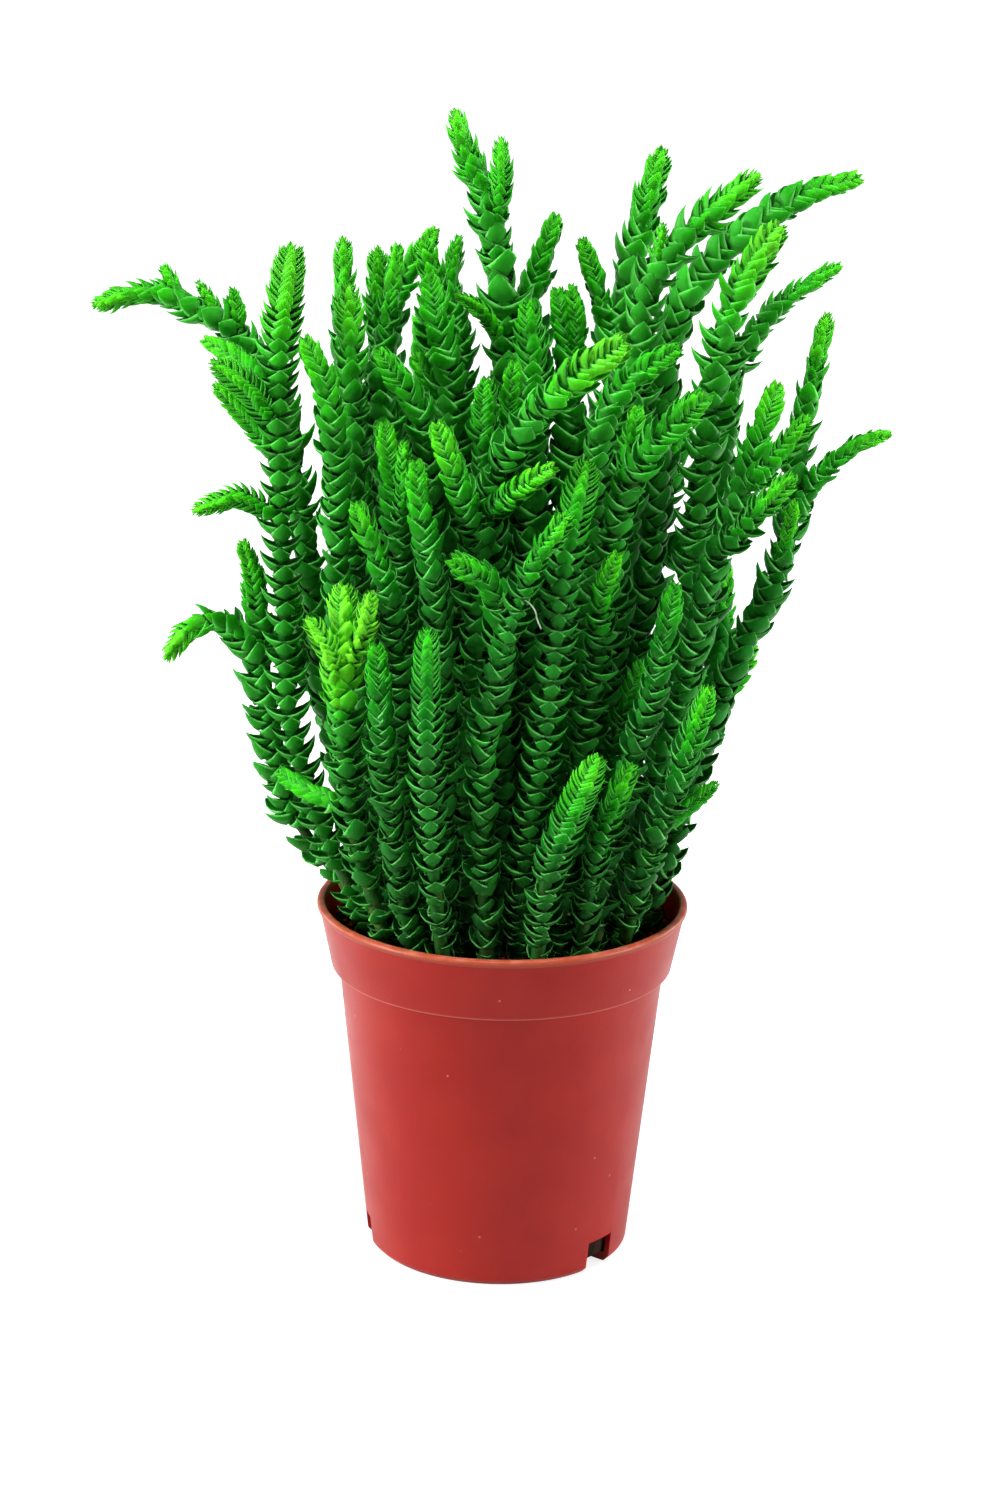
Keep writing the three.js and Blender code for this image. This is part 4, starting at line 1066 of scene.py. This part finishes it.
def makeFloor(s):
    bm = bmesh.new()
    bmesh.ops.create_circle(bm, cap_ends=True, segments=96, radius=s["floorRadius"])
    material, tree, shader = newMaterial("paleFloor")
    fillSockets(tree, shader, {"Base Color": (*(s["floorTone"],) * 3, 1), "Roughness": 0.9,
                               "Specular IOR Level": 0.1, "Emission Color": (1, 1, 1, 1)})
    # the paper is shown white, and throws little light back on the plant
    path, place = addNode(tree, "ShaderNodeLightPath"), millimetres(tree)
    depth = addNode(tree, "ShaderNodeSeparateXYZ", n0=place).outputs[1]
    mirrored = addMath(tree, "MULTIPLY", path.outputs["Is Glossy Ray"],
                       addRange(tree, depth, *s["mirrorReach"], *s["mirrorGlow"]))
    seen = addMath(tree, "MAXIMUM", path.outputs["Is Camera Ray"], mirrored)
    away = addNode(tree, "ShaderNodeVectorMath", {"operation": "LENGTH"}, n0=place).outputs["Value"]
    glow = addRange(tree, away, *s["glowReach"], *s["glow"])
    tree.links.new(addMath(tree, "MULTIPLY", seen, glow), shader.inputs["Emission Strength"])
    floor = finishPiece("studioFloor", bm, [material], None)


def makeLights(s):
    scene = bpy.context.scene
    world = bpy.data.worlds.new("studio")
    scene.world = world
    world.use_nodes = True
    tree = world.node_tree
    back = tree.nodes["Background"]
    # the studio is white behind and beside the plant, and dark where the photographer stands
    direction = addNode(tree, "ShaderNodeTexCoord").outputs["Generated"]
    depth = addNode(tree, "ShaderNodeSeparateXYZ", n0=direction).outputs[1]
    around = addRange(tree, depth, -0.75, 0.05, s["front"], s["behind"])
    path = addNode(tree, "ShaderNodeLightPath")
    share = addRange(tree, path.outputs["Is Glossy Ray"], 0.0, 1.0, s["diffuseShare"], s["glossyShare"])
    strength = addMath(tree, "MAXIMUM", path.outputs["Is Camera Ray"], addMath(tree, "MULTIPLY", around, share))
    tree.links.new(strength, back.inputs["Strength"])
    back.inputs["Color"].default_value = (1, 1, 1, 1)
    for name, place, size, power in s["softboxes"]:
        light = bpy.data.lights.new(name, "AREA")
        light.shape, light.size, light.energy = "DISK", size, power
        box = bpy.data.objects.new(name, light)
        scene.collection.objects.link(box)
        box.location = place
        box.rotation_euler = (Vector(s["boxAim"]) - box.location).to_track_quat("-Z", "Y").to_euler()
    scene.view_settings.view_transform = "Standard"


def makeCamera(s):
    data = bpy.data.cameras.new("photoCamera")
    data.sensor_width = s["sensor"]
    data.lens = s["focalPixels"] / s["photoHeight"] * s["sensor"]
    camera = bpy.data.objects.new("photoCamera", data)
    bpy.context.scene.collection.objects.link(camera)
    back = Vector((0, -math.cos(s["elevation"]), math.sin(s["elevation"])))
    level = Matrix((Vector((1, 0, 0)), back.cross(Vector((1, 0, 0))), back)).transposed()
    turned = level @ Matrix.Rotation(s["roll"], 3, "Z")
    camera.matrix_world = Matrix.LocRotScale(
        (Vector(s["cameraAim"]) + back * s["cameraAway"]) * mm, turned.to_quaternion(), None)
    bpy.context.scene.camera = camera


makeFloor(stageSettings)
makeLights(stageSettings)
makeCamera(stageSettings)
